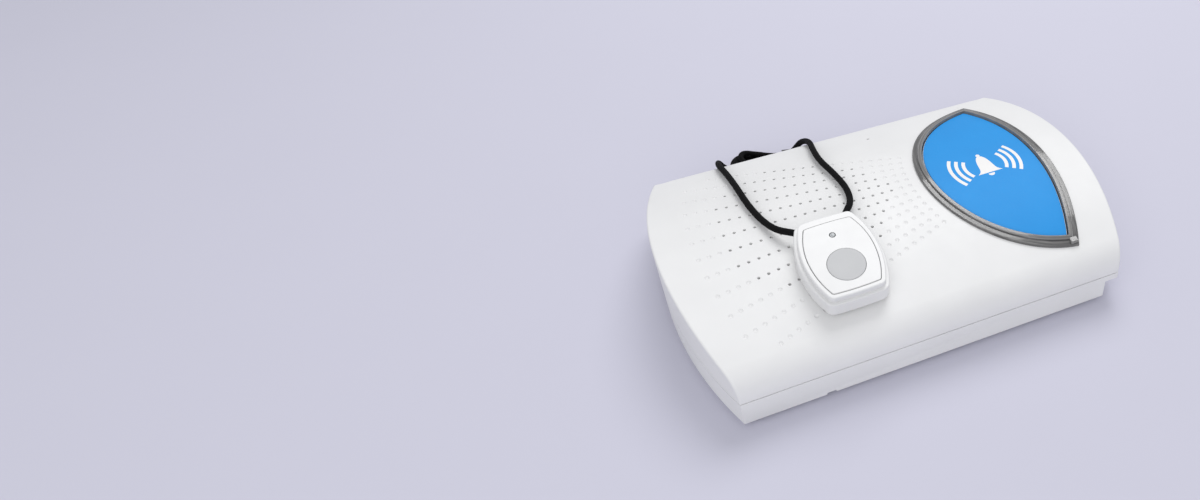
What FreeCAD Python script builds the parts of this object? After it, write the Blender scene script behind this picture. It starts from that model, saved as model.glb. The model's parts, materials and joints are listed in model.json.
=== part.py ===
import FreeCAD, Part
import math
import os
import re
import Sketcher
from FreeCAD import Placement, Rotation, Vector

# Medical alert base station with its neck pendant lying on top.
# Millimetres. +Z up, +X to the help button's end, +Y to the rear.
# Origin: middle of the underside, on the plane that the feet stand on.

doc = FreeCAD.newDocument("base_station")

# Driving sizes: name, value (mm, degrees or a count), what it is.
dimensions = [
    ("case_front", 165, "length of the straight front and rear edges"),
    ("case_depth", 129, "front to rear"),
    ("end_radius", 175, "plan radius of the two bulged ends"),
    ("foot_height", 1.5, "clear height under the base"),
    ("base_height", 13, "base shell, underside to seam"),
    ("cover_height", 23, "seam to the crown's highest line"),
    ("crown_radius", 171, "front-to-rear radius of the crowned top"),
    ("front_roll", 12, "radius of the cover's front shoulder"),
    ("rear_roll", 9, "radius of the cover's rear shoulder"),
    ("wall", 2.2, "wall of the cover and the base"),
    ("floor_thick", 2.5, "floor of the base"),
    ("seam_gap", 0.45, "shadow gap between cover and base"),
    ("bottom_round", 1.5, "rounding of the base's lower edges"),
    ("tongue_height", 1.8, "tongue above the seam"),
    ("tongue_wall", 1.0, "thickness of the tongue"),
    ("tongue_root", 1.6, "tongue below the seam"),
    ("slip", 0.15, "side clearance of moulded fits"),
    ("step_inset", 5.5, "right end of the base, inwards of the lip"),
    ("lip_height", 3, "lip left above that step"),
    ("lip_floor", 1.5, "thickness under the lip"),
    ("notch_place", 47.4, "pry notch, left of the middle"),
    ("notch_width", 4, "pry notch"),
    ("notch_height", 2.4, "pry notch"),
    ("fan_focus", 84.1, "point that the grille's rows run to, along X"),
    ("face_line", 2.6, "centre line of button and grille, in front of the middle"),
    ("row_step", 3.55, "angle between grille rows"),
    ("column_pitch", 4.29, "distance between grille columns"),
    ("column_first", 150.6, "radius of column 0 about the focus"),
    ("grille_middle", 33.4, "round hole field, left of the middle"),
    ("grille_back", 2.9, "round hole field, behind the middle"),
    ("grille_field", 37.3, "radius of the round hole field"),
    ("grille_hole", 1.2, "side of a grille hole"),
    ("lens_left_radius", 53.1, "bezel's left arc"),
    ("lens_left_centre", 73.4, "its centre, right of the middle"),
    ("lens_right_radius", 120, "bezel's right arc"),
    ("lens_right_centre", 41.1, "its centre, left of the middle"),
    ("ring_width", 4.3, "visible width of the bezel"),
    ("ring_outer", 2.3, "width of the bezel's lower outer step"),
    ("ring_rise", 1.9, "bezel above the cover"),
    ("ring_step", 1.1, "outer step above the cover"),
    ("spigot_inset", 1.8, "bezel's outline to its spigot"),
    ("spigot_wall", 1.6, "wall of the spigot"),
    ("spigot_foot", 27, "height of the spigot's lower edge"),
    ("button_gap", 0.3, "gap round the help button"),
    ("button_rise", 0.3, "moulded key above the cover's surface"),
    ("film_thick", 0.4, "printed film on the key"),
    ("film_inset", 0.3, "film's edge inside the key's edge"),
    ("button_wall", 2.0, "wall of the key"),
    ("button_travel", 1.2, "press of the help button"),
    ("carrier_low", 19.5, "underside of the button carrier"),
    ("carrier_thick", 2, "button carrier"),
    ("guide_radius", 2.2, "guide pins of the key"),
    ("guide_slip", 0.05, "radial clearance of the guide pins"),
    ("guide_head", 2.9, "radius of the pins' snap heads"),
    ("spring_radius", 3.3, "mean radius of the return springs"),
    ("spring_wire", 0.6, "wire of the return springs"),
    ("spring_turns", 3, "turns of a return spring"),
    ("spring_seat", 30, "height of the seats under the key"),
    ("board_thick", 1.5, "circuit boards of the base"),
    ("stem_radius", 1.7, "stem of the tact switch"),
    ("stem_top", 28, "height of the stem's end"),
    ("speaker_plane", 29.8, "lower edge of the speaker's seat"),
    ("speaker_radius", 39.5, "speaker flange"),
    ("speaker_seat", 1.5, "seat ring inside the flange's edge"),
    ("speaker_depth", 13.4, "flange to magnet"),
    ("gasket_thick", 0.8, "speaker gasket"),
    ("magnet_radius", 17, "speaker magnet"),
    ("magnet_height", 6, "speaker magnet"),
    ("screw_place", 72, "case screws from the middle, along X"),
    ("screw_depth", 57.5, "case screws from the middle, along Y"),
    ("screw_radius", 1.5, "case screw shank"),
    ("screw_head", 2.8, "case screw head radius"),
    ("post_radius", 3.3, "screw posts"),
    ("foot_radius", 5, "rubber feet"),
    ("foot_place", 70, "feet from the middle, along X"),
    ("foot_depth", 45, "feet from the middle, along Y"),
    ("foot_sunk", 0.8, "feet let into the base"),
    ("keyhole_span", 120, "distance between the wall keyholes"),
    ("keyhole_depth", 38, "keyhole heads behind the middle"),
    ("keyhole_head", 4.3, "radius of the keyhole's round end"),
    ("keyhole_slot", 2.3, "half width of the keyhole's slot"),
    ("keyhole_run", 8, "slot length from the round end's centre"),
    ("bay_middle", 32, "battery bay, left of the middle"),
    ("bay_front", 6, "battery bay, in front of the middle"),
    ("bay_length", 50, "battery bay along X"),
    ("bay_width", 36, "battery bay along Y"),
    ("bay_wall", 1.5, "walls of the bay"),
    ("door_edge", 2, "door beyond the bay on three sides"),
    ("door_tab", 8, "door beyond the bay at the front, for its screw"),
    ("door_thick", 1.6, "battery door"),
    ("door_gap", 0.3, "gap round the door"),
    ("cell_radius", 5.25, "cells of the backup pack"),
    ("cell_length", 44.5, "cells of the backup pack"),
    ("board_low", 4.6, "underside of the main board"),
    ("board_left", 2, "main board's left edge"),
    ("board_right", 52, "main board's right edge"),
    ("board_front", 48, "main board in front of the middle"),
    ("board_rear", 60.5, "main board behind the middle"),
    ("inlet_place", 24, "power inlet, right of the middle"),
    ("inlet_height", 9.8, "height of the inlet's axis"),
    ("inlet_bore", 2.9, "radius of the inlet's bore"),
    ("inlet_nose", 3.5, "radius of the inlet's nose"),
    ("inlet_pin", 1.0, "radius of the inlet's pin"),
    ("inlet_body", 4.6, "half width of the inlet"),
    ("switch_place", 39, "power switch slider at off, right of the middle"),
    ("switch_travel", 2, "power switch, off to on"),
    ("switch_knob", 3, "width of its knob"),
    ("switch_height", 8.7, "height of its knob's middle"),
    ("microphone_place", 14.5, "microphone, right of the middle"),
    ("microphone_back", 46.2, "microphone, behind the middle"),
    ("pendant_middle", 29.35, "pendant, left of the middle"),
    ("pendant_front", 32.3, "pendant, in front of the middle"),
    ("pendant_gap", 0.3, "pendant above the cover where it rests"),
    ("pendant_flat", 12.4, "half length of the pendant's straight ends"),
    ("pendant_half", 20.4, "half length of the pendant"),
    ("pendant_bulge", 42, "plan radius of the pendant's sides"),
    ("pendant_corner", 3.2, "corner rounding of the pendant"),
    ("pendant_shell_top", 6.2, "pendant's lower shell"),
    ("pendant_front_low", 6.6, "underside of the front cover"),
    ("pendant_front_top", 9.7, "top of the front cover"),
    ("pendant_step", 1.4, "front cover inside the lower shell"),
    ("pendant_rim", 3.4, "lower shell's outline to the face plate"),
    ("pendant_skin", 1.5, "pendant's walls"),
    ("face_thick", 1.6, "face plate"),
    ("face_proud", 0.2, "face plate above the front cover"),
    ("face_gap", 0.3, "dark gap round the face plate"),
    ("key_radius", 7.7, "pendant's round button"),
    ("key_gap", 0.2, "gap round it"),
    ("key_back", 4.9, "button's centre towards the pendant's foot"),
    ("key_flange", 0.9, "flange that keeps it in"),
    ("key_travel", 0.5, "press of the pendant's button"),
    ("light_forward", 9.4, "indicator, towards the pendant's top"),
    ("light_radius", 1.2, "indicator lens"),
    ("coin_radius", 10, "coin cell"),
    ("coin_thick", 3.2, "coin cell"),
    ("exit_side", 10.2, "cord exits from the pendant's middle line"),
    ("exit_height", 5, "cord exits above the pendant's underside"),
    ("cord_thick", 2.8, "neck cord diameter"),
    ("hank_half", 19.5, "spare cord's bundle, middle to the centre of an end's turns"),
    ("hank_end", 9.8, "bundle, radius of the turns at its ends"),
    ("hank_waist", 12.6, "bundle, width where it is tied"),
    ("hank_height", 9.2, "bundle's three layers of cord"),
    ("hank_layers", 6.4, "bundle's two lower layers"),
    ("hank_top_end", 7.0, "top layer, radius of the turns at its ends"),
    ("hank_top_waist", 8.4, "top layer, width where it is tied"),
    ("hank_top_front", 1.4, "top layer's middle, in front of the bundle's"),
    ("hank_angle", -14.2, "bundle's direction, about Z from +X"),
    ("hank_place", 16, "bundle's middle, left of the middle"),
    ("hank_back", 79.9, "bundle's middle, behind the middle"),
    ("tie_width", 6, "tie round the bundle"),
    ("tie_thick", 0.5, "tie round the bundle"),
]

sheet = doc.addObject("Spreadsheet::Sheet", "sizes")
for row, (alias, value, meaning) in enumerate(dimensions, start=1):
    sheet.set(f"A{row}", meaning)
    sheet.set(f"B{row}", str(value))
    sheet.setAlias(f"B{row}", alias)
doc.recompute()
size_names = {entry[0] for entry in dimensions}

# Heights and places worked out from the driving sizes.
seam = "(foot_height + base_height)"
crown_top = f"({seam} + cover_height)"
floor_top = "(foot_height + floor_thick)"
above_all = "60"
bay_top = "(foot_height + door_thick + 2 * cell_radius + 0.5)"
board_top = "(board_low + board_thick)"
carrier_top = "(carrier_low + carrier_thick)"
button_board_low = f"({carrier_top} + 0.05)"
button_board_top = f"({button_board_low} + board_thick)"
key_inset = "(ring_width + button_gap)"
key_bottom = f"({carrier_top} + button_travel + 0.2)"
speaker_face = "(speaker_plane - gasket_thick)"
stop_gap = 0.1
round_sides = 8
cord_sides = 6


def link(text):
    """Expression text with every size name tied to its cell."""
    def tied(match):
        word = match.group(0)
        return "sizes." + word if word in size_names else word
    return re.sub(r"[a-z_]+", tied, str(text))


def num(text):
    """Value of an expression in size names."""
    return float(sheet.evalExpression(str(text)))


def bind(feature, prop, text):
    feature.setExpression(prop, link(text))


# ---- sketches -------------------------------------------------------------

side_on = Rotation(Vector(1, 1, 1), 120)
to_rear = Rotation(Vector(1, 0, 0), -90)


def flat_sketch(name, height="0"):
    """Sketch parallel to XY at a height."""
    sketch = doc.addObject("Sketcher::SketchObject", name)
    sketch.Placement = Placement(Vector(0, 0, num(height)), Rotation())
    bind(sketch, "Placement.Base.z", height)
    return sketch


def fix(sketch, kind, geometry, text):
    """Dimension whose value is an expression."""
    index = sketch.addConstraint(Sketcher.Constraint(kind, *geometry, num(text)))
    sketch.setExpression(f"Constraints[{index}]", link(text))


def tie(sketch, kind, *geometry):
    sketch.addConstraint(Sketcher.Constraint(kind, *geometry))


def arc(centre_x, centre_y, radius, start, end):
    circle = Part.Circle(Vector(centre_x, centre_y, 0), Vector(0, 0, 1), radius)
    return Part.ArcOfCircle(circle, start, end)


def line(x1, y1, x2, y2):
    return Part.LineSegment(Vector(x1, y1, 0), Vector(x2, y2, 0))


def draw_barrel(sketch, flat, half, radius, grow="0", right=None):
    """Outline with straight front and rear edges and two bulged ends.

    flat is half the straight edges' length, half the half depth, radius that of the ends.
    grow offsets the outline outwards, and right does so for the right end alone.
    """
    right = grow if right is None else right
    middle = f"(sqrt(({radius})^2 - ({half})^2) - ({flat}))"
    edge = f"({half} + {grow})"
    c, d = num(middle), num(edge)
    left_r, right_r = num(f"{radius} + {grow}"), num(f"{radius} + {right}")
    left_a, right_a = math.asin(d / left_r), math.asin(d / right_r)
    left_x = c - left_r * math.cos(left_a)
    right_x = right_r * math.cos(right_a) - c
    front = sketch.addGeometry(line(left_x, -d, right_x, -d))
    bulge = sketch.addGeometry(arc(-c, 0, right_r, -right_a, right_a))
    rear = sketch.addGeometry(line(right_x, d, left_x, d))
    other = sketch.addGeometry(arc(c, 0, left_r, math.pi - left_a, math.pi + left_a))
    for first, second in ((front, bulge), (bulge, rear), (rear, other), (other, front)):
        tie(sketch, "Coincident", first, 2, second, 1)
    for straight in (front, rear):
        tie(sketch, "Horizontal", straight)
    for end in (bulge, other):
        tie(sketch, "PointOnObject", end, 3, -1)
    fix(sketch, "Radius", (bulge,), f"{radius} + {right}")
    fix(sketch, "Radius", (other,), f"{radius} + {grow}")
    fix(sketch, "DistanceX", (bulge, 3, -1, 1), middle)
    fix(sketch, "DistanceX", (-1, 1, other, 3), middle)
    fix(sketch, "DistanceY", (front, 1, -1, 1), edge)
    fix(sketch, "DistanceY", (-1, 1, rear, 1), edge)
    return sketch


def case_outline(name, grow="0", right=None, height="0"):
    sketch = flat_sketch(name, height)
    return draw_barrel(sketch, "case_front / 2", "case_depth / 2", "end_radius", grow, right)


def crown_profile(name, grow, bottom):
    """Front-to-rear section of the cover: crown arc, two shoulders, two upright walls."""
    sketch = doc.addObject("Sketcher::SketchObject", name)
    sketch.Placement = Placement(Vector(), side_on)
    low, half = num(bottom), num(f"case_depth / 2 + {grow}")
    crown_z = num(f"{crown_top} - crown_radius")
    crown_r = num(f"crown_radius + {grow}")
    front_r, rear_r = num(f"front_roll + {grow}"), num(f"rear_roll + {grow}")
    front_y, rear_y = half - front_r, half - rear_r
    front_z = crown_z + math.sqrt((crown_r - front_r) ** 2 - front_y ** 2)
    rear_z = crown_z + math.sqrt((crown_r - rear_r) ** 2 - rear_y ** 2)
    front_a = math.atan2(front_z - crown_z, -front_y)
    rear_a = math.atan2(rear_z - crown_z, rear_y)
    base = sketch.addGeometry(line(-half, low, half, low))
    rear_wall = sketch.addGeometry(line(half, low, half, rear_z))
    rear = sketch.addGeometry(arc(rear_y, rear_z, rear_r, 0, rear_a))
    crown = sketch.addGeometry(arc(0, crown_z, crown_r, rear_a, front_a))
    front = sketch.addGeometry(arc(-front_y, front_z, front_r, front_a, math.pi))
    front_wall = sketch.addGeometry(line(-half, front_z, -half, low))
    tie(sketch, "Coincident", base, 2, rear_wall, 1)
    tie(sketch, "Coincident", front_wall, 2, base, 1)
    for first, second in ((rear_wall, rear), (rear, crown), (crown, front), (front, front_wall)):
        tie(sketch, "Tangent", first, 2, second, 1)
    tie(sketch, "Horizontal", base)
    tie(sketch, "Vertical", rear_wall)
    tie(sketch, "Vertical", front_wall)
    tie(sketch, "PointOnObject", crown, 3, -2)
    fix(sketch, "Radius", (crown,), f"crown_radius + {grow}")
    fix(sketch, "Radius", (rear,), f"rear_roll + {grow}")
    fix(sketch, "Radius", (front,), f"front_roll + {grow}")
    fix(sketch, "DistanceY", (crown, 3, -1, 1), f"crown_radius - {crown_top}")
    fix(sketch, "DistanceX", (-1, 1, base, 2), f"case_depth / 2 + {grow}")
    fix(sketch, "DistanceX", (base, 1, -1, 1), f"case_depth / 2 + {grow}")
    fix(sketch, "DistanceY", (-1, 1, base, 1), bottom)
    return sketch


def lens_outline(name, inset="0", height="0"):
    """Pointed oval of the button group: two arcs that meet at two tips."""
    sketch = flat_sketch(name, height)
    left_x, right_x, y = num("lens_left_centre"), -num("lens_right_centre"), -num("face_line")
    left_r, right_r = num(f"lens_left_radius - ({inset})"), num(f"lens_right_radius - ({inset})")
    apart = left_x - right_x
    from_right = (apart ** 2 + right_r ** 2 - left_r ** 2) / (2 * apart)
    tip = math.sqrt(right_r ** 2 - from_right ** 2)
    left_a = math.atan2(tip, from_right - apart)
    right_a = math.atan2(tip, from_right)
    left = sketch.addGeometry(arc(left_x, y, left_r, left_a, 2 * math.pi - left_a))
    right = sketch.addGeometry(arc(right_x, y, right_r, -right_a, right_a))
    tie(sketch, "Coincident", left, 2, right, 1)
    tie(sketch, "Coincident", right, 2, left, 1)
    fix(sketch, "Radius", (left,), f"lens_left_radius - ({inset})")
    fix(sketch, "Radius", (right,), f"lens_right_radius - ({inset})")
    fix(sketch, "DistanceX", (-1, 1, left, 3), "lens_left_centre")
    fix(sketch, "DistanceX", (right, 3, -1, 1), "lens_right_centre")
    fix(sketch, "DistanceY", (left, 3, -1, 1), "face_line")
    fix(sketch, "DistanceY", (right, 3, -1, 1), "face_line")
    return sketch


# ---- solids ---------------------------------------------------------------

counter = {}


def fresh(name):
    """A name of its own for each helper feature."""
    counter[name] = counter.get(name, 0) + 1
    return f"{name}_{counter[name]}"


def prism(sketch, length):
    solid = doc.addObject("Part::Extrusion", fresh("prism"))
    solid.Base = sketch
    solid.DirMode = "Normal"
    solid.Solid = True
    bind(solid, "LengthFwd", length)
    return solid


def crown_block(grow, bottom):
    """The cover's outer form, grown or shrunk, as a bar along X."""
    solid = prism(crown_profile(fresh("crown_profile"), grow, bottom), "2 * case_front")
    solid.Symmetric = True
    return solid


def case_block(grow, low, high, right=None):
    return prism(case_outline(fresh("case_outline"), grow, right, low), f"({high}) - ({low})")


def lens_block(inset, low, high=above_all):
    return prism(lens_outline(fresh("lens_outline"), inset, low), f"({high}) - ({low})")


def box(middle_x, middle_y, low_z, length, width, height):
    """Box centred in X and Y, standing on low_z."""
    solid = doc.addObject("Part::Box", fresh("box"))
    for prop, text in (("Length", length), ("Width", width), ("Height", height)):
        bind(solid, prop, text)
    bind(solid, "Placement.Base.x", f"{middle_x} - ({length}) / 2")
    bind(solid, "Placement.Base.y", f"{middle_y} - ({width}) / 2")
    bind(solid, "Placement.Base.z", low_z)
    return solid


def cylinder(x, y, low_z, radius, height, turn=None):
    """Upright cylinder, or one turned about X by a Rotation, starting at the point."""
    solid = doc.addObject("Part::Cylinder", fresh("cylinder"))
    if turn is not None:
        solid.Placement = Placement(Vector(), turn)
    bind(solid, "Radius", radius)
    bind(solid, "Height", height)
    for axis, text in (("x", x), ("y", y), ("z", low_z)):
        bind(solid, f"Placement.Base.{axis}", text)
    return solid


def rod(x, y, low_z, radius, height):
    """Small or hidden round piece or bore, as a prism of few faces."""
    solid = doc.addObject("Part::Prism", fresh("rod"))
    solid.Polygon = round_sides
    bind(solid, "Circumradius", radius)
    bind(solid, "Height", height)
    for axis, text in (("x", x), ("y", y), ("z", low_z)):
        bind(solid, f"Placement.Base.{axis}", text)
    return solid


def fuse(*solids):
    solid = doc.addObject("Part::MultiFuse", fresh("fuse"))
    solid.Shapes = list(solids)
    return solid


def common(first, second):
    solid = doc.addObject("Part::Common", fresh("common"))
    solid.Base = first
    solid.Tool = second
    return solid


def cut(base, *tools):
    solid = doc.addObject("Part::Cut", fresh("cut"))
    solid.Base = base
    solid.Tool = tools[0] if len(tools) == 1 else fuse(*tools)
    return solid


def rounded(base, radius, pick, kind="Fillet"):
    """Fillet or chamfer of the edges that pick(edge) chooses."""
    doc.recompute()
    solid = doc.addObject(f"Part::{kind}", fresh("edge"))
    solid.Base = base
    size = num(radius)
    solid.Edges = [(n, size, size) for n, edge in enumerate(base.Shape.Edges, 1) if pick(edge)]
    return solid


def group(*solids):
    """Separate solids that share one node."""
    together = doc.addObject("Part::Compound", fresh("group"))
    together.Links = list(solids)
    return together


def new_body(name):
    return doc.addObject("PartDesign::Body", name)


def body_sketch(body, role):
    """Sketch on one of the body's own origin planes."""
    sketch = body.newObject("Sketcher::SketchObject", fresh("sketch"))
    plane = next(f for f in body.Origin.OriginFeatures if f.Role == role)
    sketch.AttachmentSupport = [(plane, "")]
    sketch.MapMode = "FlatFace"
    return sketch


def draw_polygon(sketch, corners):
    """Closed polygon, each corner placed by two expressions that are zero or more."""
    points = [(num(x), num(y)) for x, y in corners]
    sides = []
    for (x1, y1), (x2, y2) in zip(points, points[1:] + points[:1]):
        sides.append(sketch.addGeometry(line(x1, y1, x2, y2)))
    for side, following in zip(sides, sides[1:] + sides[:1]):
        tie(sketch, "Coincident", side, 2, following, 1)
    for side, (x, y), (text_x, text_y) in zip(sides, points, corners):
        if abs(x) < 1e-9:
            tie(sketch, "PointOnObject", side, 1, -2)
        else:
            fix(sketch, "DistanceX", (-1, 1, side, 1), text_x)
        if abs(y) < 1e-9:
            tie(sketch, "PointOnObject", side, 1, -1)
        else:
            fix(sketch, "DistanceY", (-1, 1, side, 1), text_y)


def turned(name, corners, x, y, low_z):
    """Body of revolution about an upright axis; corners are radius and height over low_z."""
    body = new_body(name)
    sketch = body_sketch(body, "XZ_Plane")
    draw_polygon(sketch, corners)
    spin = body.newObject("PartDesign::Revolution", fresh("revolution"))
    spin.Profile = sketch
    spin.ReferenceAxis = (sketch, ["V_Axis"])
    spin.Angle = 360
    for axis, text in (("x", x), ("y", y), ("z", low_z)):
        bind(body, f"Placement.Base.{axis}", text)
    return body


def padded_barrel(name, half_grow, low, high, corner, edge_size="0", kind="Fillet"):
    """Pendant-shaped body between two heights, with rounded corners and a dressed top edge."""
    body = new_body(name)
    sketch = body_sketch(body, "XY_Plane")
    draw_barrel(sketch, "pendant_flat", "pendant_half", "pendant_bulge", half_grow)
    bind(sketch, "AttachmentOffset.Base.z", low)
    pad = body.newObject("PartDesign::Pad", fresh("pad"))
    pad.Profile = sketch
    bind(pad, "Length", f"({high}) - ({low})")
    doc.recompute()
    upright = [f"Edge{n}" for n, e in enumerate(pad.Shape.Edges, 1) if is_upright(e)]
    dress(body, pad, upright, corner)
    if num(edge_size) > 0:
        doc.recompute()
        top = num(high)
        rim = [f"Edge{n}" for n, e in enumerate(body.Tip.Shape.Edges, 1) if is_level(e, top)]
        dress(body, body.Tip, rim[:1], edge_size, kind)
    return body


def dress(body, feature, edges, size, kind="Fillet"):
    dressed = body.newObject(f"PartDesign::{kind}", fresh("dressed"))
    dressed.Base = (feature, edges)
    bind(dressed, "Radius" if kind == "Fillet" else "Size", size)


def is_upright(edge):
    direction = edge.Vertexes[-1].Point - edge.Vertexes[0].Point
    return direction.Length > 0.01 and abs(direction.z) > 0.999 * direction.Length


def is_level(edge, height):
    return all(abs(vertex.Z - height) < 1e-4 for vertex in edge.Vertexes)


parts = {}


def keep(name, feature):
    feature.Label = name
    parts[name] = feature


# ---- top cover ------------------------------------------------------------

screw_places = [(f"{a} * screw_place", f"{b} * screw_depth") for a in (-1, 1) for b in (-1, 1)]
ear_angle = 123.6
ear_places = [
    ("lens_left_centre - lens_left_radius - 3.8", "-face_line"),
    ("lens_right_radius - lens_right_centre + 4", "-face_line"),
] + [
    (f"lens_left_centre + (lens_left_radius + 4.5) * cos({ear_angle})",
     f"{side} * (lens_left_radius + 4.5) * sin({ear_angle}) - face_line")
    for side in (-1, 1)
]
boss_low = f"({seam} + 0.1)"
speaker_screws = [("-grille_middle + {a} * 0.7071 * (speaker_radius + 3.3)".format(a=a),
                   "grille_back + {b} * 0.7071 * (speaker_radius + 3.3)".format(b=b))
                  for a in (-1, 1) for b in (-1, 1)]
speaker_low = f"({speaker_face} - 1.2)"


def grille_points():
    """Places of the grille's holes: rows fan out from a focus, columns are arcs about it."""
    focus = Vector(num("fan_focus"), -num("face_line"), 0)
    field = Vector(-num("grille_middle"), num("grille_back"), 0)
    first, pitch, step = num("column_first"), num("column_pitch"), math.radians(num("row_step"))
    for row in range(-1, 11):
        angle = (row - 4.5) * step
        for column in range(-3, 20):
            radius = first - column * pitch
            point = focus - Vector(radius * math.cos(angle), radius * math.sin(angle), 0)
            if (point - field).Length < num("grille_field"):
                yield point


def make_cover():
    outer = common(case_block("0", f"{seam} + seam_gap", above_all),
                   crown_block("0", f"{seam} + seam_gap"))
    inner = common(case_block("(-wall)", seam, above_all), crown_block("(-wall)", seam))
    shell = cut(outer, inner)
    speaker = ("-grille_middle", "grille_back", "speaker_plane")
    seat = cut(cylinder(*speaker, "speaker_radius - speaker_seat + 2.2", above_all),
               cylinder(*speaker, "speaker_radius - speaker_seat", above_all))
    bosses = [rod(x, y, boss_low, "post_radius", above_all) for x, y in screw_places]
    bosses += [rod(x, y, carrier_top, "3", above_all) for x, y in ear_places]
    bosses += [rod(x, y, f"{speaker_low} + 0.05", "2.7", above_all) for x, y in speaker_screws]
    cup = rod("microphone_place", "microphone_back", "24.5", "4.7", above_all)
    inside = common(fuse(seat, cup, *bosses), outer)
    holes = [rod(x, y, boss_low, "screw_radius + 0.05", "9") for x, y in screw_places]
    holes += [rod(x, y, carrier_top, "1.25", "6") for x, y in ear_places]
    holes += [rod(x, y, speaker_low, "1", "3.6") for x, y in speaker_screws]
    holes.append(rod("microphone_place", "microphone_back", "24.5", "3.6", "4"))
    holes.append(rod("microphone_place", "microphone_back", "24.5", "0.6", above_all))
    holes.append(lens_block("spigot_inset - slip", seam))
    side = num("grille_hole")
    hole = Part.makeBox(side, side, num("cover_height"))
    low = Vector(-side / 2, -side / 2, num("speaker_plane"))
    grille = doc.addObject("Part::Feature", "grille_holes")
    grille.Shape = Part.makeCompound([hole.translated(point + low) for point in grille_points()])
    solid = cut(cut(fuse(shell, inside), *holes), grille)
    keep("top_cover", solid)


# ---- base shell -----------------------------------------------------------

def keyhole(side):
    x = f"{side} * keyhole_span / 2"
    head = cylinder(x, "keyhole_depth", "0", "keyhole_head", floor_top)
    slot = box(x, "keyhole_depth + keyhole_run / 2", "0", "2 * keyhole_slot", "keyhole_run", floor_top)
    end = cylinder(x, "keyhole_depth + keyhole_run", "0", "keyhole_slot", floor_top)
    return [head, slot, end]


standoffs = [("board_left + 4", "-(board_front - 4)"), ("board_right - 4", "-(board_front - 4)"),
             ("board_left + 4", "board_rear - 12"), ("board_right - 4", "board_rear - 22")]
door_middle = "(-bay_front - (door_tab - door_edge) / 2)"
door_width = "(bay_width + door_edge + door_tab)"
door_screw_y = "(-bay_front - bay_width / 2 - door_tab / 2)"


def make_base():
    lip_low = f"({seam} - lip_height)"
    lower = case_block("0", "foot_height", lip_low, "-step_inset")
    bottom = num("foot_height")
    lower = rounded(lower, "bottom_round", lambda edge: is_level(edge, bottom), "Chamfer")
    outer = fuse(lower, case_block("0", lip_low, seam))
    room = case_block("(-wall)", floor_top, f"{lip_low} + lip_floor + 0.1", "(-step_inset - wall)")
    upper_room = case_block("(-wall)", f"{lip_low} + lip_floor", above_all)
    tray = cut(outer, room, upper_room)
    inside = "(-(wall + slip + tongue_wall))"
    root = cut(case_block("(0.2 - wall)", f"{seam} - tongue_root", f"{seam} - 0.2"),
               case_block(inside, f"{seam} - tongue_root", seam))
    tongue = cut(case_block("(-(wall + slip))", f"{seam} - tongue_root", f"{seam} + tongue_height"),
                 case_block(inside, f"{seam} - tongue_root", above_all))
    posts = [rod(x, y, "foot_height + 1", "post_radius", f"{seam} - foot_height - 1.1")
             for x, y in screw_places]
    posts += [rod(x, y, "foot_height + 1", "2.6", "board_low - foot_height - 1")
              for x, y in standoffs]
    posts.append(rod("-bay_middle", door_screw_y, "foot_height + door_thick", "3", "8"))
    bay = box("-bay_middle", "-bay_front", "foot_height + 1", "bay_length + 2 * bay_wall",
              "bay_width + 2 * bay_wall", f"{bay_top} + 1.2 - foot_height - 1")
    holes = [box("-bay_middle", "-bay_front", "0", "bay_length", "bay_width", bay_top),
             box("-bay_middle", door_middle, "0", "bay_length + 2 * door_edge", door_width,
                 "foot_height + door_thick"),
             rod("-bay_middle", door_screw_y, "0", "1.05", "10")]
    for x, y in screw_places:
        holes.append(rod(x, y, "0", "screw_head + 0.2", "foot_height + 3"))
        holes.append(rod(x, y, "0", "screw_radius + 0.1", seam))
    for x, y in standoffs:
        holes.append(rod(x, y, "foot_height + 1", "0.95", "6"))
    for x in (-1, 1):
        for y in (-1, 1):
            holes.append(rod(f"{x} * foot_place", f"{y} * foot_depth", "0", "foot_radius + 0.1",
                             "foot_height + foot_sunk"))
        holes += keyhole(x)
    holes.append(cylinder("inlet_place", "board_rear", "inlet_height", "inlet_nose + 0.1", "10", to_rear))
    holes.append(box("switch_place + switch_travel / 2", "case_depth / 2", "switch_height - 1.5",
                     "switch_knob + switch_travel + 0.6", "8", "3"))
    holes.append(box("-notch_place", "-case_depth / 2", "0", "notch_width", "4",
                     "foot_height + notch_height"))
    keep("base_shell", cut(fuse(tray, root, tongue, bay, *posts), *holes))


def make_fasteners():
    feet = []
    for x in (-1, 1):
        for y in (-1, 1):
            feet.append(rod(f"{x} * foot_place", f"{y} * foot_depth", "0", "foot_radius",
                            "foot_height + foot_sunk"))
    keep("rubber_feet", group(*feet))
    screws = [fuse(rod(x, y, "foot_height + 1", "screw_head", "2"),
                   rod(x, y, "foot_height + 2.5", "screw_radius", f"{seam} - foot_height + 5"))
              for x, y in screw_places]
    keep("case_screws", group(*screws))
    small = [fuse(rod(x, y, board_top, "2.2", "1.4"),
                  rod(x, y, "board_low - 2", "0.9", "4.5")) for x, y in standoffs]
    keep("board_screws", group(*small))
    hung = [fuse(rod(x, y, "carrier_low - 1.6", "2.5", "1.6"),
                 rod(x, y, "carrier_low - 1", "1.2", "8")) for x, y in ear_places]
    keep("carrier_screws", group(*hung))
    clamps = [fuse(rod(x, y, f"{speaker_low} - 1.5", "4.4", "1.5"),
                   rod(x, y, f"{speaker_low} - 1", "0.95", "4.4")) for x, y in speaker_screws]
    keep("speaker_screws", group(*clamps))


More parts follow.
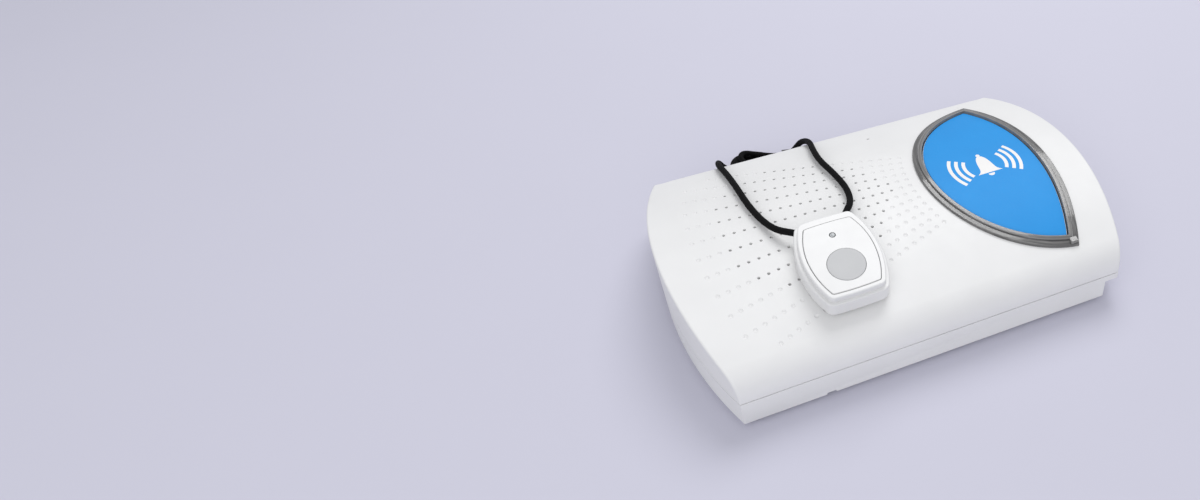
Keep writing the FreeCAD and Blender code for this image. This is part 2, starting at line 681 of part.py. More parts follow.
def make_battery():
    door = box("-bay_middle", door_middle, "foot_height", "bay_length + 2 * door_edge - 2 * door_gap",
               f"{door_width} - 2 * door_gap", "door_thick - 0.05")
    tabs = [box(f"-bay_middle + {side} * bay_length / 4", "bay_width / 2 - bay_front - 0.9",
                "foot_height + door_thick - 0.5", "7", "1.2", "4") for side in (-1, 1)]
    grips = [box("-bay_middle", f"-bay_front + {n} * 2.2", "0", "14", "1.1", "foot_height + 0.4")
             for n in (-2, -1, 0, 1, 2)]
    sink = cylinder("-bay_middle", door_screw_y, "0", "2.3", "foot_height + 0.8")
    bore = rod("-bay_middle", door_screw_y, "0", "1.2", "6")
    keep("battery_door", cut(fuse(door, *tabs), sink, bore, *grips))
    keep("battery_door_screw", fuse(
        cylinder("-bay_middle", door_screw_y, "foot_height + 0.1", "2.1", "0.7"),
        rod("-bay_middle", door_screw_y, "foot_height + 0.5", "1", "6")))
    along = Rotation(Vector(0, 1, 0), 90)
    low = "foot_height + door_thick + 0.2"
    cells = [cylinder("-bay_middle - cell_length / 2", f"-bay_front + {n} * 2 * cell_radius",
                      f"{low} + cell_radius", "cell_radius", "cell_length", along) for n in (-1, 0, 1)]
    wrap = box("-bay_middle", "-bay_front", f"{low} + cell_radius / 2", "cell_length",
               "4 * cell_radius", "cell_radius")
    keep("battery_pack", fuse(*cells, wrap))


# ---- help button ----------------------------------------------------------

guides = [("46", "26 - face_line"), ("46", "-26 - face_line"), ("66", "-face_line")]
plunger_x = "50"


def make_bezel():
    under = crown_block("0.05", seam)
    step = common(lens_block("0", "spigot_foot"), crown_block("ring_step", seam))
    inner = common(lens_block("ring_outer", "spigot_foot"), crown_block("ring_rise", seam))
    band = cut(fuse(step, inner), common(lens_block("-1", seam), under))
    spigot = common(lens_block("spigot_inset", "spigot_foot"), crown_block("ring_step", seam))
    hole = lens_block("ring_width", seam)
    low_hole = common(lens_block("spigot_inset + spigot_wall", seam), crown_block("(-0.6)", seam))
    keep("button_bezel", cut(fuse(band, spigot), hole, low_hole))


def make_key():
    outer = common(lens_block(key_inset, key_bottom), crown_block("button_rise", seam))
    room = common(lens_block(f"{key_inset} + button_wall", seam),
                  crown_block("(button_rise - button_wall)", seam))
    seats = [rod(x, y, "spring_seat", "4.2", above_all) for x, y in guides]
    pins = [cylinder(x, y, "carrier_low - 1.5", "guide_radius", above_all) for x, y in guides]
    heads = [rod(x, y, "carrier_low - 1.5", "guide_head", f"1.5 - {stop_gap}") for x, y in guides]
    plunger = rod(plunger_x, "-face_line", "stem_top + 0.05", "3", above_all)
    ribs = common(fuse(*seats, *pins, *heads, plunger),
                  crown_block("(button_rise - 0.5)", "carrier_low - 3"))
    keep("help_button", fuse(cut(outer, room), ribs))
    film = cut(common(lens_block(f"{key_inset} + film_inset", seam),
                      crown_block("(button_rise + film_thick)", seam)),
               crown_block("button_rise", "foot_height"))
    keep("button_film", film)


def make_carrier():
    plate = lens_block("-1", "carrier_low", carrier_top)
    ears = [rod(x, y, "carrier_low", "3.6", "carrier_thick") for x, y in ear_places]
    holes = [cylinder(x, y, "0", "guide_radius + guide_slip", above_all) for x, y in guides]
    holes += [rod(x, y, "0", "1.3", above_all) for x, y in ear_places]
    keep("button_carrier", cut(fuse(plate, *ears), *holes))
    board = cut(lens_block(f"{key_inset} + button_wall + 1.5", button_board_low, button_board_top),
                *[rod(x, y, "0", "spring_radius + 1", above_all) for x, y in guides])
    keep("button_board", board)
    body = cut(box(plunger_x, "-face_line", button_board_top, "6.2", "6.2", "3.4"),
               cylinder(plunger_x, "-face_line", f"{button_board_top} + 0.9", "stem_radius + 0.08", "5"))
    keep("switch_body", body)
    stem_low = f"({button_board_top} + 1 + button_travel)"
    keep("switch_stem", cylinder(plunger_x, "-face_line", stem_low, "stem_radius", f"stem_top - {stem_low}"))
    lights = [box(x, f"{y} - face_line", button_board_top, "3", "2.6", "1.2")
              for x in ("38", "60") for y in ("16", "-16")]
    keep("status_lights", group(*lights))


def make_springs():
    """Coil springs round the guide pins: a square section swept along a many-sided helix."""
    low = num(carrier_top) + 0.05
    wire, radius = num("spring_wire / 2"), num("spring_radius")
    rise = num("spring_seat") - low - 0.1 - 2 * wire
    steps = round(num(f"{round_sides} * spring_turns"))
    angles = [2 * math.pi * n / round_sides for n in range(steps + 1)]
    path = [Vector(radius * math.cos(a), radius * math.sin(a), rise * n / steps)
            for n, a in enumerate(angles)]
    section = [Vector(radius + wire * a, 0, wire * b)
               for a, b in ((1, 1), (-1, 1), (-1, -1), (1, -1), (1, 1))]
    coil = Part.makePolygon(path).makePipeShell([Part.makePolygon(section)], True, False, 1)
    springs = doc.addObject("Part::Feature", "springs")
    springs.Shape = Part.makeCompound([
        coil.translated(Vector(num(x), num(y), low + wire)) for x, y in guides])
    keep("button_springs", springs)


# ---- speaker, boards and connectors ---------------------------------------

def make_speaker():
    place = ("-grille_middle", "grille_back")
    depth = "speaker_depth"
    keep("speaker_frame", turned("speaker_frame", [
        ("magnet_radius - 4", "magnet_height"), ("magnet_radius + 1", "magnet_height"),
        ("speaker_radius - 5", f"{depth} - 1.2"), ("speaker_radius", f"{depth} - 1.2"),
        ("speaker_radius", depth), ("speaker_radius - 5", depth),
        ("magnet_radius", "magnet_height + 1"), ("magnet_radius - 4", "magnet_height + 1"),
    ], *place, f"{speaker_face} - {depth}"))
    keep("speaker_cone", turned("speaker_cone", [
        ("0", "magnet_height + 2.4"), ("magnet_radius - 8", "magnet_height + 1.4"),
        ("speaker_radius - 5.3", f"{depth} + 0.05"), ("speaker_radius - 3.8", f"{depth} + 0.05"),
        ("speaker_radius - 5", f"{depth} + 0.6"), ("magnet_radius - 8", "magnet_height + 2"),
        ("0", "magnet_height + 4.2"),
    ], *place, f"{speaker_face} - {depth}"))
    keep("speaker_magnet", turned("speaker_magnet", [
        ("0", "0"), ("magnet_radius", "0"), ("magnet_radius", "magnet_height - 0.05"),
        ("0", "magnet_height - 0.05"),
    ], *place, f"{speaker_face} - {depth}"))
    keep("speaker_gasket", turned("speaker_gasket", [
        ("speaker_radius - 3.6", "0.05"), ("speaker_radius + 0.4", "0.05"),
        ("speaker_radius + 0.4", "gasket_thick - 0.05"), ("speaker_radius - 3.6", "gasket_thick - 0.05"),
    ], *place, speaker_face))
    sheet_block = common(cylinder(*place, "speaker_plane", "speaker_radius - speaker_seat - 0.3", above_all),
                         crown_block("(-wall - 0.05)", seam))
    keep("grille_cloth", cut(sheet_block, crown_block("(-wall - 0.45)", "foot_height")))


def make_electronics():
    board = box("(board_left + board_right) / 2", "(board_rear - board_front) / 2", "board_low",
                "board_right - board_left", "board_rear + board_front", "board_thick")
    corner = box("board_right", "board_rear", "0", "18", "24", "20")
    bores = [rod(x, y, "0", "1.1", "20") for x, y in standoffs]
    keep("main_board", cut(board, corner, *bores))
    keep("cellular_module", rounded(box("20", "-6", board_top, "24", "20", "2.6"), "0.8", is_upright))
    plate = box("27", "-40", f"{board_top} + 3.2", "38", "7", "0.6")
    legs = [box(f"27 + {n} * 15", "-40", board_top, "0.8", "4", "3.4") for n in (-1, 1)]
    keep("antenna", fuse(plate, *legs))
    body = box("inlet_place", "board_rear - 6", board_top, "2 * inlet_body", "12", "7.4")
    nose = cylinder("inlet_place", "board_rear - 1", "inlet_height", "inlet_nose",
                    "case_depth / 2 - board_rear + 0.8", to_rear)
    bore = cylinder("inlet_place", "board_rear - 7", "inlet_height", "inlet_bore", "20", to_rear)
    pin = cylinder("inlet_place", "board_rear - 7.5", "inlet_height", "inlet_pin",
                   "case_depth / 2 - board_rear + 6", to_rear)
    keep("power_inlet", fuse(cut(fuse(body, nose), bore), pin))
    middle = "switch_place + switch_travel / 2"
    frame = box(middle, "board_rear - 2", board_top, "9.6", "4.4", "5")
    slot = box(middle, "board_rear - 0.4", "switch_height - 1.4", "switch_knob + switch_travel + 0.4",
               "4", "2.8")
    keep("power_switch_frame", cut(frame, slot))
    keep("power_switch_slider", box("switch_place", "(board_rear - 1.9 + case_depth / 2 - 0.4) / 2",
                                    "switch_height - 1.2", "switch_knob",
                                    "case_depth / 2 - 0.4 - board_rear + 1.9", "2.4"))
    place = ("microphone_place", "microphone_back")
    keep("microphone_boot", cut(rod(*place, "24.5", "3.5", "3.9"), rod(*place, "24.5", "2.6", "3.1"),
                                rod(*place, "24.5", "0.7", "5")))
    keep("microphone", rod(*place, "24.5", "2.5", "3"))


# ---- pendant, in its own frame --------------------------------------------

# Each leg of the neck cord runs from the pendant's shoulder over the rear edge to the bundle.
left_leg = [(-38.5, -16.0, 42.3), (-42.6, -10.2, 42.4), (-46.6, -4.6, 40.4), (-50.4, 3.6, 39.6),
            (-52.6, 15.0, 39.3), (-53.1, 29.0, 37.6), (-53.8, 43.0, 34.9), (-54.6, 57.0, 31.8),
            (-53.2, 67.0, 26.6), (-50.2, 70.6, 18.4), (-44.2, 73.2, 11.2), (-36.4, 76.4, 6.6)]
right_leg = [(-19.5, -15.2, 42.5), (-15.6, -8.6, 43.0), (-12.4, -0.4, 41.0), (-11.2, 9.6, 39.6),
             (-12.6, 20.6, 38.9), (-14.2, 32.6, 37.2), (-13.4, 44.8, 34.6), (-11.4, 57.4, 31.4),
             (-13.4, 67.0, 26.2), (-16.8, 69.8, 19.6), (-20.6, 72.4, 13.6), (-25.4, 75.2, 10.2),
             (-30.6, 77.6, 7.0)]


def cord_bore(route):
    """Hole for the cord along its first run, through the pendant's wall."""
    start, following = Vector(*route[0]), Vector(*route[1])
    hole = doc.addObject("Part::Prism", fresh("cord_bore"))
    hole.Polygon = cord_sides
    hole.Placement = Placement(start, Rotation(Vector(0, 0, 1), following - start))
    bind(hole, "Circumradius", "cord_thick / 2 + 0.3")
    hole.Height = (following - start).Length
    return hole


pendant_tilt = "asin(pendant_front / crown_radius)"
pendant_rest = f"({crown_top} - crown_radius + sqrt(crown_radius^2 - pendant_front^2) + pendant_gap)"


def place_on_cover(feature):
    """Moves a piece from the pendant's frame to where it lies on the crown."""
    feature.Placement = Placement(Vector(), Rotation(Vector(1, 0, 0), 1))
    bind(feature, "Placement.Base.x", "-pendant_middle")
    bind(feature, "Placement.Base.y", "-pendant_front")
    bind(feature, "Placement.Base.z", pendant_rest)
    bind(feature, "Placement.Rotation.Angle", pendant_tilt)
    return feature


def barrel_block(grow, low, high):
    sketch = draw_barrel(flat_sketch(fresh("pendant_outline"), low), "pendant_flat", "pendant_half",
                         "pendant_bulge", grow)
    return prism(sketch, f"({high}) - ({low})")


def make_pendant():
    shell = padded_barrel("pendant_lower", "0", "0", "pendant_shell_top", "pendant_corner")
    shell = rounded(shell, "1.2", lambda edge: is_level(edge, 0), "Chamfer")
    room = rounded(barrel_block("(-pendant_skin)", "pendant_skin", "20"), "1.6", is_upright)
    placed = place_on_cover(cut(shell, room))
    keep("pendant_shell", cut(placed, cord_bore(left_leg), cord_bore(right_leg)))
    seal = cut(rounded(barrel_block("(-0.5)", "pendant_shell_top", "pendant_front_low"), "2.7", is_upright),
               rounded(barrel_block("(-pendant_skin)", "0", "20"), "1.6", is_upright))
    keep("pendant_seal", place_on_cover(seal))
    front = padded_barrel("pendant_upper", "(-pendant_step)", "pendant_front_low", "pendant_front_top",
                          "pendant_corner - 0.6", "0.8", "Chamfer")
    recess = rounded(barrel_block("(face_gap - pendant_rim)",
                                  "pendant_front_top + face_proud - face_thick - 0.05", "20"),
                     "1.5", is_upright)
    hole = rounded(barrel_block("(-pendant_rim - 1.2)", "0", "20"), "1", is_upright)
    keep("pendant_front", place_on_cover(cut(front, recess, hole)))
    face = padded_barrel("pendant_plate", "(-pendant_rim)", "pendant_front_top + face_proud - face_thick",
                         "pendant_front_top + face_proud", "1.3", "0.3", "Chamfer")
    face_holes = [cylinder("0", "-key_back", "0", "key_radius + key_gap", "20"),
                  rod("0", "light_forward", "0", "light_radius + 0.05", "20")]
    keep("pendant_face", place_on_cover(cut(face, *face_holes)))
    flange_top = "(pendant_front_top + face_proud - face_thick - 0.1)"
    flange_low = f"({flange_top} - key_flange)"
    disc = rounded(cylinder("0", "-key_back", flange_low, "key_radius",
                            f"pendant_front_top + face_proud + 0.2 - {flange_low}"), "0.4",
                   lambda edge: is_level(edge, num("pendant_front_top + face_proud + 0.2")), "Chamfer")
    flange = rod("0", "-key_back", flange_low, "key_radius + 1", "key_flange")
    keep("pendant_button", place_on_cover(fuse(disc, flange)))
    light = rod("0", "light_forward", "pendant_front_top - 1.9", "light_radius", "2.2")
    keep("pendant_light", place_on_cover(group(light)))
    coin_low = "(pendant_skin + 0.05)"
    coin = rod("0", "-2", coin_low, "coin_radius", "coin_thick")
    keep("pendant_cell", place_on_cover(group(coin)))
    plate_low = f"({coin_low} + coin_thick + 0.05)"
    plate = rounded(barrel_block("(-pendant_skin - 3)", plate_low, f"{plate_low} + 0.8"), "1.2", is_upright)
    keep("pendant_board", place_on_cover(plate))
    dome_low = f"({plate_low} + 0.85)"
    dome = rod("0", "-key_back", dome_low, "4", f"{flange_low} - key_travel - 0.1 - {dome_low}")
    keep("pendant_dome", place_on_cover(group(dome)))


# ---- neck cord ------------------------------------------------------------

def cord_tube(name, route):
    """Straight runs joined by tangent arcs, each arc as large as its two runs allow."""
    points = [Vector(*p) for p in route]
    edges, start, radii = [], points[0], []
    for before, corner, after in zip(points, points[1:], points[2:]):
        incoming, outgoing = corner - before, after - corner
        half_turn = incoming.getAngle(outgoing) / 2
        setback = 0.45 * min(incoming.Length, outgoing.Length)
        first = corner - incoming.normalize() * setback
        last = corner + outgoing.normalize() * setback
        radius = setback / math.tan(half_turn)
        inward = (outgoing - incoming).normalize()
        middle = corner + inward * (math.hypot(radius, setback) - radius)
        edges.append(Part.LineSegment(start, first).toShape())
        edges.append(Part.Arc(first, middle, last).toShape())
        start = last
        radii.append(round(radius, 1))
    edges.append(Part.LineSegment(start, points[-1]).toShape())
    path = Part.Wire(edges)
    area = math.pi * num("cord_thick / 2") ** 2
    reach = math.sqrt(2 * area / (cord_sides * math.sin(2 * math.pi / cord_sides)))
    upright = Rotation(Vector(0, 0, 1), points[1] - points[0])
    corners = [points[0] + upright.multVec(Vector(math.cos(a), math.sin(a), 0) * reach)
               for a in [2 * math.pi * n / cord_sides for n in range(cord_sides + 1)]]
    tube = path.makePipeShell([Part.makePolygon(corners)], True, False)
    print(name, "length", round(path.Length, 1), "volume ratio", round(tube.Volume / area / path.Length, 4),
          "radii", radii)
    feature = doc.addObject("Part::Feature", fresh(name))
    feature.Shape = tube
    keep(name, feature)


def make_cord():
    cord_tube("cord_left", left_leg)
    cord_tube("cord_right", right_leg)
    low = "0.05"
    ends = [cylinder(f"{side} * hank_half", "0", low, "hank_end", "hank_layers") for side in (-1, 1)]
    tops = [cylinder(f"{side} * hank_half", "0", low, "hank_top_end", "hank_height") for side in (-1, 1)]
    waist = box("0", "0", low, "2 * hank_half", "hank_waist", "hank_layers")
    top_waist = box("0", "(-hank_top_front)", low, "2 * hank_half", "hank_top_waist", "hank_height")
    bundle = fuse(waist, *ends, top_waist, *tops)
    strap = fuse(box("0", "0", low, "tie_width", "hank_waist + 2 * tie_thick", "hank_layers + tie_thick"),
                 box("0", "(-hank_top_front)", low, "tie_width", "hank_top_waist + 2 * tie_thick",
                     "hank_height + tie_thick"))
    band = cut(strap, box("0", "0", low, "2 * tie_width", "hank_waist", "hank_layers"),
               box("0", "(-hank_top_front)", low, "2 * tie_width", "hank_top_waist", "hank_height"))
    for name, feature in (("cord_hank", bundle), ("hank_tie", band)):
        feature.Placement = Placement(Vector(), Rotation(Vector(0, 0, 1), 1))
        bind(feature, "Placement.Base.x", "-hank_place")
        bind(feature, "Placement.Base.y", "hank_back")
        bind(feature, "Placement.Rotation.Angle", "hank_angle")
        keep(name, feature)


make_cover()
make_base()
make_fasteners()
make_battery()
make_bezel()
make_key()
make_carrier()
make_springs()
make_speaker()
make_electronics()
make_pendant()
make_cord()
doc.recompute()

# ---- checks and export ----------------------------------------------------

faults = [f"{o.Name} ({o.Label}): {o.State}" for o in doc.Objects
          if "Invalid" in o.State or "Error" in o.State]
for name, feature in parts.items():
    if feature.Shape.isNull() or not feature.Shape.isValid() or feature.Shape.Volume <= 0:
        faults.append(f"{name}: shape is null or not valid")
if faults:
    raise RuntimeError("; ".join(faults))

os.makedirs("parts", exist_ok=True)
for name, feature in parts.items():
    feature.Shape.exportStep(f"parts/{name}.step")
    print(name, len(feature.Shape.Solids), round(feature.Shape.Volume, 1))
print(len(parts), "nodes")
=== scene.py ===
import json
import math

import bmesh
import bpy
import numpy as np
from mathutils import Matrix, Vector
from mathutils.geometry import delaunay_2d_cdt


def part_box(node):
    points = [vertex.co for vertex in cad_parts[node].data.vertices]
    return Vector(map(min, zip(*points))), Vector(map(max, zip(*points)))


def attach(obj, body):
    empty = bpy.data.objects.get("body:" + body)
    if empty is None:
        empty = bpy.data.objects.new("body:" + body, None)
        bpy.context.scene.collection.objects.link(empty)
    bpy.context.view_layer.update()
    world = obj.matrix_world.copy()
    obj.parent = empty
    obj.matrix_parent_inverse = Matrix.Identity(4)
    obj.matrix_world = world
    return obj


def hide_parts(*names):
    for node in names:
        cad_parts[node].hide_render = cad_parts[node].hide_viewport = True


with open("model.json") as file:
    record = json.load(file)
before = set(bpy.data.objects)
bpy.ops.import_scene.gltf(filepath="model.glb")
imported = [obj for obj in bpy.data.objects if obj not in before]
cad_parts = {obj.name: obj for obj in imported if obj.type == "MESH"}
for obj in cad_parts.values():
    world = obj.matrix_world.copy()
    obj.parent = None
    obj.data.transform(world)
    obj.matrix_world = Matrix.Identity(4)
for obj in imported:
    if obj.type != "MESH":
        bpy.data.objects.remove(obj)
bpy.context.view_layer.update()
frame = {"nodes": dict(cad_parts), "record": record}
milli = 0.001            # sizes below are millimetres, the scene is metres
print("frame loaded:", len(frame["nodes"]), "nodes")


# camera: far off at the front left, looking down on the top
cameraSizes = {"lens": 25.82, "shiftX": -0.2625, "shiftY": 0.01,
               "place": (-103.1, -262.8, 271.9), "turn": (45.738, 0.066, -24.709)}


def makeCamera():
    data = bpy.data.cameras.new("camera")
    data.lens = cameraSizes["lens"]
    data.shift_x = cameraSizes["shiftX"]
    data.shift_y = cameraSizes["shiftY"]
    camera = bpy.data.objects.new("camera", data)
    camera.location = Vector(cameraSizes["place"]) * milli
    camera.rotation_euler = [math.radians(a) for a in cameraSizes["turn"]]
    bpy.context.scene.collection.objects.link(camera)
    bpy.context.scene.camera = camera
    print("camera placed")


# finishes

class Signal:
    # a value inside a material: sums and products of it add Math nodes
    def __init__(self, finish, socket):
        self.finish = finish
        self.socket = socket

    def math(self, operation, *terms):
        return self.finish.node("ShaderNodeMath", {"operation": operation}, dict(enumerate(terms)))

    def __add__(self, other):
        return self.math("ADD", self, other)

    def __mul__(self, other):
        return self.math("MULTIPLY", self, other)

    def __sub__(self, other):
        return self.math("SUBTRACT", self, other)

    def __rsub__(self, other):
        return self.math("SUBTRACT", other, self)

    __radd__ = __add__
    __rmul__ = __mul__


class Finish:
    # a material: node() adds any node, shade() feeds the shader and hands over the material
    def __init__(self, name):
        self.material = bpy.data.materials.new(name)
        self.material.use_nodes = True
        self.tree = self.material.node_tree
        self.shader = self.tree.nodes["Principled BSDF"]
        self.place = self.node("ShaderNodeTexCoord", {}, {}, "Object")

    def node(self, kind, settings, values, output=0):
        made = self.tree.nodes.new(kind)
        for name, value in settings.items():
            setattr(made, name, value)
        for name, value in values.items():
            self.feed(made.inputs[name], value)
        return Signal(self, made.outputs[output])

    def feed(self, socket, value):
        if isinstance(value, Signal):
            self.tree.links.new(value.socket, socket)
        else:
            socket.default_value = (*value, 1.0) if socket.type == "RGBA" else value

    def shade(self, values):
        for name, value in values.items():
            self.feed(self.shader.inputs[name], value)
        return self.material

    def flow(self):
        # the piece's own flat coordinates, in millimetres
        flat = self.node("ShaderNodeUVMap", {"uv_map": "flow"}, {})
        parts = self.node("ShaderNodeSeparateXYZ", {}, {"Vector": flat})
        return parts, Signal(self, parts.socket.node.outputs[1])

    def noise(self, size, detail, place=None):
        # size is that of the pattern's lumps, in millimetres
        return self.node("ShaderNodeTexNoise", {}, {
            "Vector": place or self.place, "Scale": 1 / (size * milli), "Detail": detail})

    def ramp(self, value, low, high, fromLow=0.3, fromHigh=0.7):
        # stretches a value between two limits, and keeps it inside them
        return self.node("ShaderNodeMapRange", {"clamp": True}, {
            "Value": value, "From Min": fromLow, "From Max": fromHigh, "To Min": low, "To Max": high})

    def blend(self, factor, first, second):
        return self.node("ShaderNodeMix", {"data_type": "RGBA"}, {0: factor, 6: first, 7: second}, 2)

    def bump(self, height, depth):
        # depth is in millimetres
        return self.node("ShaderNodeBump", {}, {"Height": height, "Distance": depth * milli}, "Normal")


# moulded plastics: colour, sheen of the surface, size and depth of its spark-eroded grain in mm
plasticSizes = {
    "white_case": {"colour": (0.80, 0.80, 0.795), "rough": 0.46, "grain": 0.35, "depth": 0.006},
    "white_key": {"colour": (0.74, 0.76, 0.78), "rough": 0.4, "grain": 0.4, "depth": 0.004},
    "pendant_white": {"colour": (0.785, 0.785, 0.78), "rough": 0.3, "grain": 0.3, "depth": 0.002},
    "pendant_grey": {"colour": (0.535, 0.54, 0.545), "rough": 0.5, "grain": 0.25, "depth": 0.006},
    "inner_plastic": {"colour": (0.36, 0.37, 0.38), "rough": 0.55, "grain": 0.5, "depth": 0.008},
    "black_plastic": {"colour": (0.022, 0.022, 0.024), "rough": 0.42, "grain": 0.4, "depth": 0.008},
    "rubber_grey": {"colour": (0.17, 0.17, 0.178), "rough": 0.78, "grain": 0.3, "depth": 0.02},
    "battery_wrap": {"colour": (0.06, 0.17, 0.1), "rough": 0.25, "grain": 3.0, "depth": 0.05},
    "cone_paper": {"colour": (0.06, 0.06, 0.066), "rough": 0.85, "grain": 0.8, "depth": 0.05},
    "clear_lens": {"colour": (0.42, 0.44, 0.45), "rough": 0.12, "grain": 0.6, "depth": 0.002},
}


# in all of them: size and shade of the clouds, size and spread of the sheen, the grain's share in it
cloudSizes = {"cloud": 28, "shade": 0.955, "sheen": 6, "spread": 0.04, "grainSheen": 0.03}


def mouldedFinish(name, colour, rough, grain, depth):
    # cloudy shade over centimetres, fine grain for the gloss and the bump
    sizes = cloudSizes
    finish = Finish(name)
    cloud = finish.noise(sizes["cloud"], 3)
    fine = finish.noise(grain, 4)
    sheen = finish.ramp(finish.noise(sizes["sheen"], 3), rough - sizes["spread"], rough + sizes["spread"])
    return finish.shade({
        "Base Color": finish.blend(finish.ramp(cloud, 0, 1), colour, [c * sizes["shade"] for c in colour]),
        "Roughness": sheen + sizes["grainSheen"] * fine,
        "Normal": finish.bump(fine, depth),
    })


smokySizes = {
    # tones from the outer band over the step to the rim and its inner edge, each up to an inset in mm:
    # smoke grey with painted shade at the step and painted highlights on the rim
    "paintedBandTones": [(0.0, 0.10), (1.9, 0.12), (2.25, 0.04), (2.45, 0.27), (3.1, 0.15), (3.9, 0.22), (4.2, 0.24)],
    "wide": 4.3, "warm": (1, 0.985, 0.965),
    # streaks, lighter as painted reflections: colour, strength, where they start and are full, length in
    # mm, how many cross a millimetre
    "reflectionColour": (0.46, 0.45, 0.44), "paintedReflection": 0.45, "reflectionFrom": (0.42, 0.72), "streak": 14.0,
    "across": 0.9,
    # roughness, relief in mm, share of light let through and how it bends, and gloss coat
    "rough": (0.1, 0.22), "relief": 0.05, "clear": 0.25, "bend": 1.49, "coat": 0.5, "coatRough": 0.04,
}


def smokyFinish():
    # smoke-grey clear plastic: a tone for each band of the section, holding painted shade and painted
    # highlights, with long streaks that flow round it and lighten it as painted reflections
    sizes = smokySizes
    finish = Finish("smoky_bezel")
    inset, run = finish.flow()
    ramp = finish.node("ShaderNodeValToRGB", {}, {"Fac": inset * (1 / sizes["wide"])})
    stops = ramp.socket.node.color_ramp.elements
    # each band's tone is the smoke grey made darker or lighter as painted shade and painted highlight
    for number, (place, paintedTone) in enumerate(sizes["paintedBandTones"]):
        stop = stops[number] if number < 2 else stops.new(1.0)
        stop.position = place / sizes["wide"]
        stop.color = (*[paintedTone * share for share in sizes["warm"]], 1)
    flowing = finish.node("ShaderNodeCombineXYZ", {}, {
        "X": inset * sizes["across"], "Y": run * (1 / sizes["streak"])})
    streak = finish.node("ShaderNodeTexNoise", {}, {"Vector": flowing, "Scale": 1.0, "Detail": 3.0})
    # the streaks blend a paler colour into the tone: painted reflections
    paintedReflection = finish.ramp(streak, 0, sizes["paintedReflection"], *sizes["reflectionFrom"])
    return finish.shade({
        "Base Color": finish.blend(paintedReflection, ramp, sizes["reflectionColour"]),
        "Roughness": finish.ramp(streak, *sizes["rough"]),
        "Normal": finish.bump(streak, sizes["relief"]),
        "Transmission Weight": sizes["clear"],
        "IOR": sizes["bend"],
        "Coat Weight": sizes["coat"],
        "Coat Roughness": sizes["coatRough"],
    })


printSizes = {
    # the two shades of each ink, then roughness, lumps of the ink and of the orange peel, its depth, gloss
    "blue_key": ((0.028, 0.305, 0.74), (0.026, 0.29, 0.715)),
    "white_print": ((0.88, 0.87, 0.86), (0.84, 0.83, 0.82)),
    "rough": (0.38, 0.48), "ink": 14, "peel": 0.9, "depth": 0.004, "gloss": 0.12,
}


def printFinish(name):
    # printed film: even ink with a faint orange-peel surface
    sizes = printSizes
    finish = Finish(name)
    peel = finish.noise(sizes["peel"], 3)
    ink = finish.noise(sizes["ink"], 4)
    return finish.shade({
        "Base Color": finish.blend(finish.ramp(ink, 0, 1), *sizes[name]),
        "Roughness": finish.ramp(peel, *sizes["rough"]),
        "Normal": finish.bump(peel, sizes["depth"]),
        "Specular IOR Level": sizes["gloss"],
    })


steelSizes = {
    # bright and dull metal, roughness, and size, squeeze and depth of the scratches
    "colours": ((0.6, 0.6, 0.61), (0.42, 0.42, 0.43)), "rough": (0.22, 0.38),
    "brush": 0.5, "squeeze": 12, "depth": 0.01,
}


def steelFinish():
    # the pattern is squeezed along Z, so that the scratches lie level
    sizes = steelSizes
    finish = Finish("steel")
    squeezed = finish.node("ShaderNodeMapping", {}, {
        "Vector": finish.place, "Scale": (1, 1, sizes["squeeze"])})
    brushed = finish.noise(sizes["brush"], 3, squeezed)
    return finish.shade({
        "Base Color": finish.blend(brushed, *sizes["colours"]),
        "Metallic": 1.0,
        "Roughness": finish.ramp(brushed, *sizes["rough"]),
        "Normal": finish.bump(brushed, sizes["depth"]),
    })


boardSizes = {
    # solder mask alone and over copper, roughness and its lumps; pitch of the patches, how far from a
    # patch's middle the copper starts, from none to full, and its height
    "colours": ((0.02, 0.13, 0.06), (0.035, 0.2, 0.09)), "rough": (0.3, 0.42), "dull": 2,
    "patch": 3.2, "copperFrom": (0.28, 0.32), "depth": 0.03,
}


def boardFinish():
    # square patches round scattered points, with copper under the paler mask between them
    sizes = boardSizes
    finish = Finish("board_green")
    cells = finish.node("ShaderNodeTexVoronoi", {"distance": "CHEBYCHEV"}, {
        "Vector": finish.place, "Scale": 1 / (sizes["patch"] * milli)})
    copper = finish.ramp(cells, 0, 1, *sizes["copperFrom"])
    return finish.shade({
        "Base Color": finish.blend(copper, *sizes["colours"]),
        "Roughness": finish.ramp(finish.noise(sizes["dull"], 2), *sizes["rough"]),
        "Normal": finish.bump(copper, sizes["depth"]),
    })


clothSizes = {
    # colours of gaps, darker as painted shade, and threads, roughness and how much the threads take off it,
    # pitch and depth
    "colours": ((0.02, 0.02, 0.022), (0.07, 0.07, 0.075)), "rough": 0.9, "sheen": 0.1,
    "weave": 2.2, "depth": 0.1,
}


def clothFinish():
    # square weave of the acoustic cloth: two crossing waves
    sizes = clothSizes
    finish = Finish("cloth_dark")
    waves = [finish.node("ShaderNodeTexWave", {"bands_direction": way}, {
        "Vector": finish.place, "Scale": 1 / (sizes["weave"] * milli)}) for way in ("X", "Y")]
    weave = waves[0] * waves[1]
    # the gaps between the threads are painted darker than the threads, as shade
    return finish.shade({
        "Base Color": finish.blend(weave, *sizes["colours"]),
        "Roughness": sizes["rough"] - sizes["sheen"] * weave,
        "Normal": finish.bump(weave, sizes["depth"]),
    })


braidSizes = {
    # colours of the gaps, darker as painted shade, and of the threads, and between which heights one turns
    # into the other; roughness;
    # radians that a thread's wave turns in a millimetre; size and share of the fluff; depth and gloss
    "colours": ((0.0015, 0.0015, 0.0018), (0.0045, 0.0045, 0.005)), "heights": (0.2, 1.4),
    "rough": (0.7, 0.85), "thread": 7.0, "fluff": 0.25, "fluffShare": 0.5, "depth": 0.05, "gloss": 0.14,
}


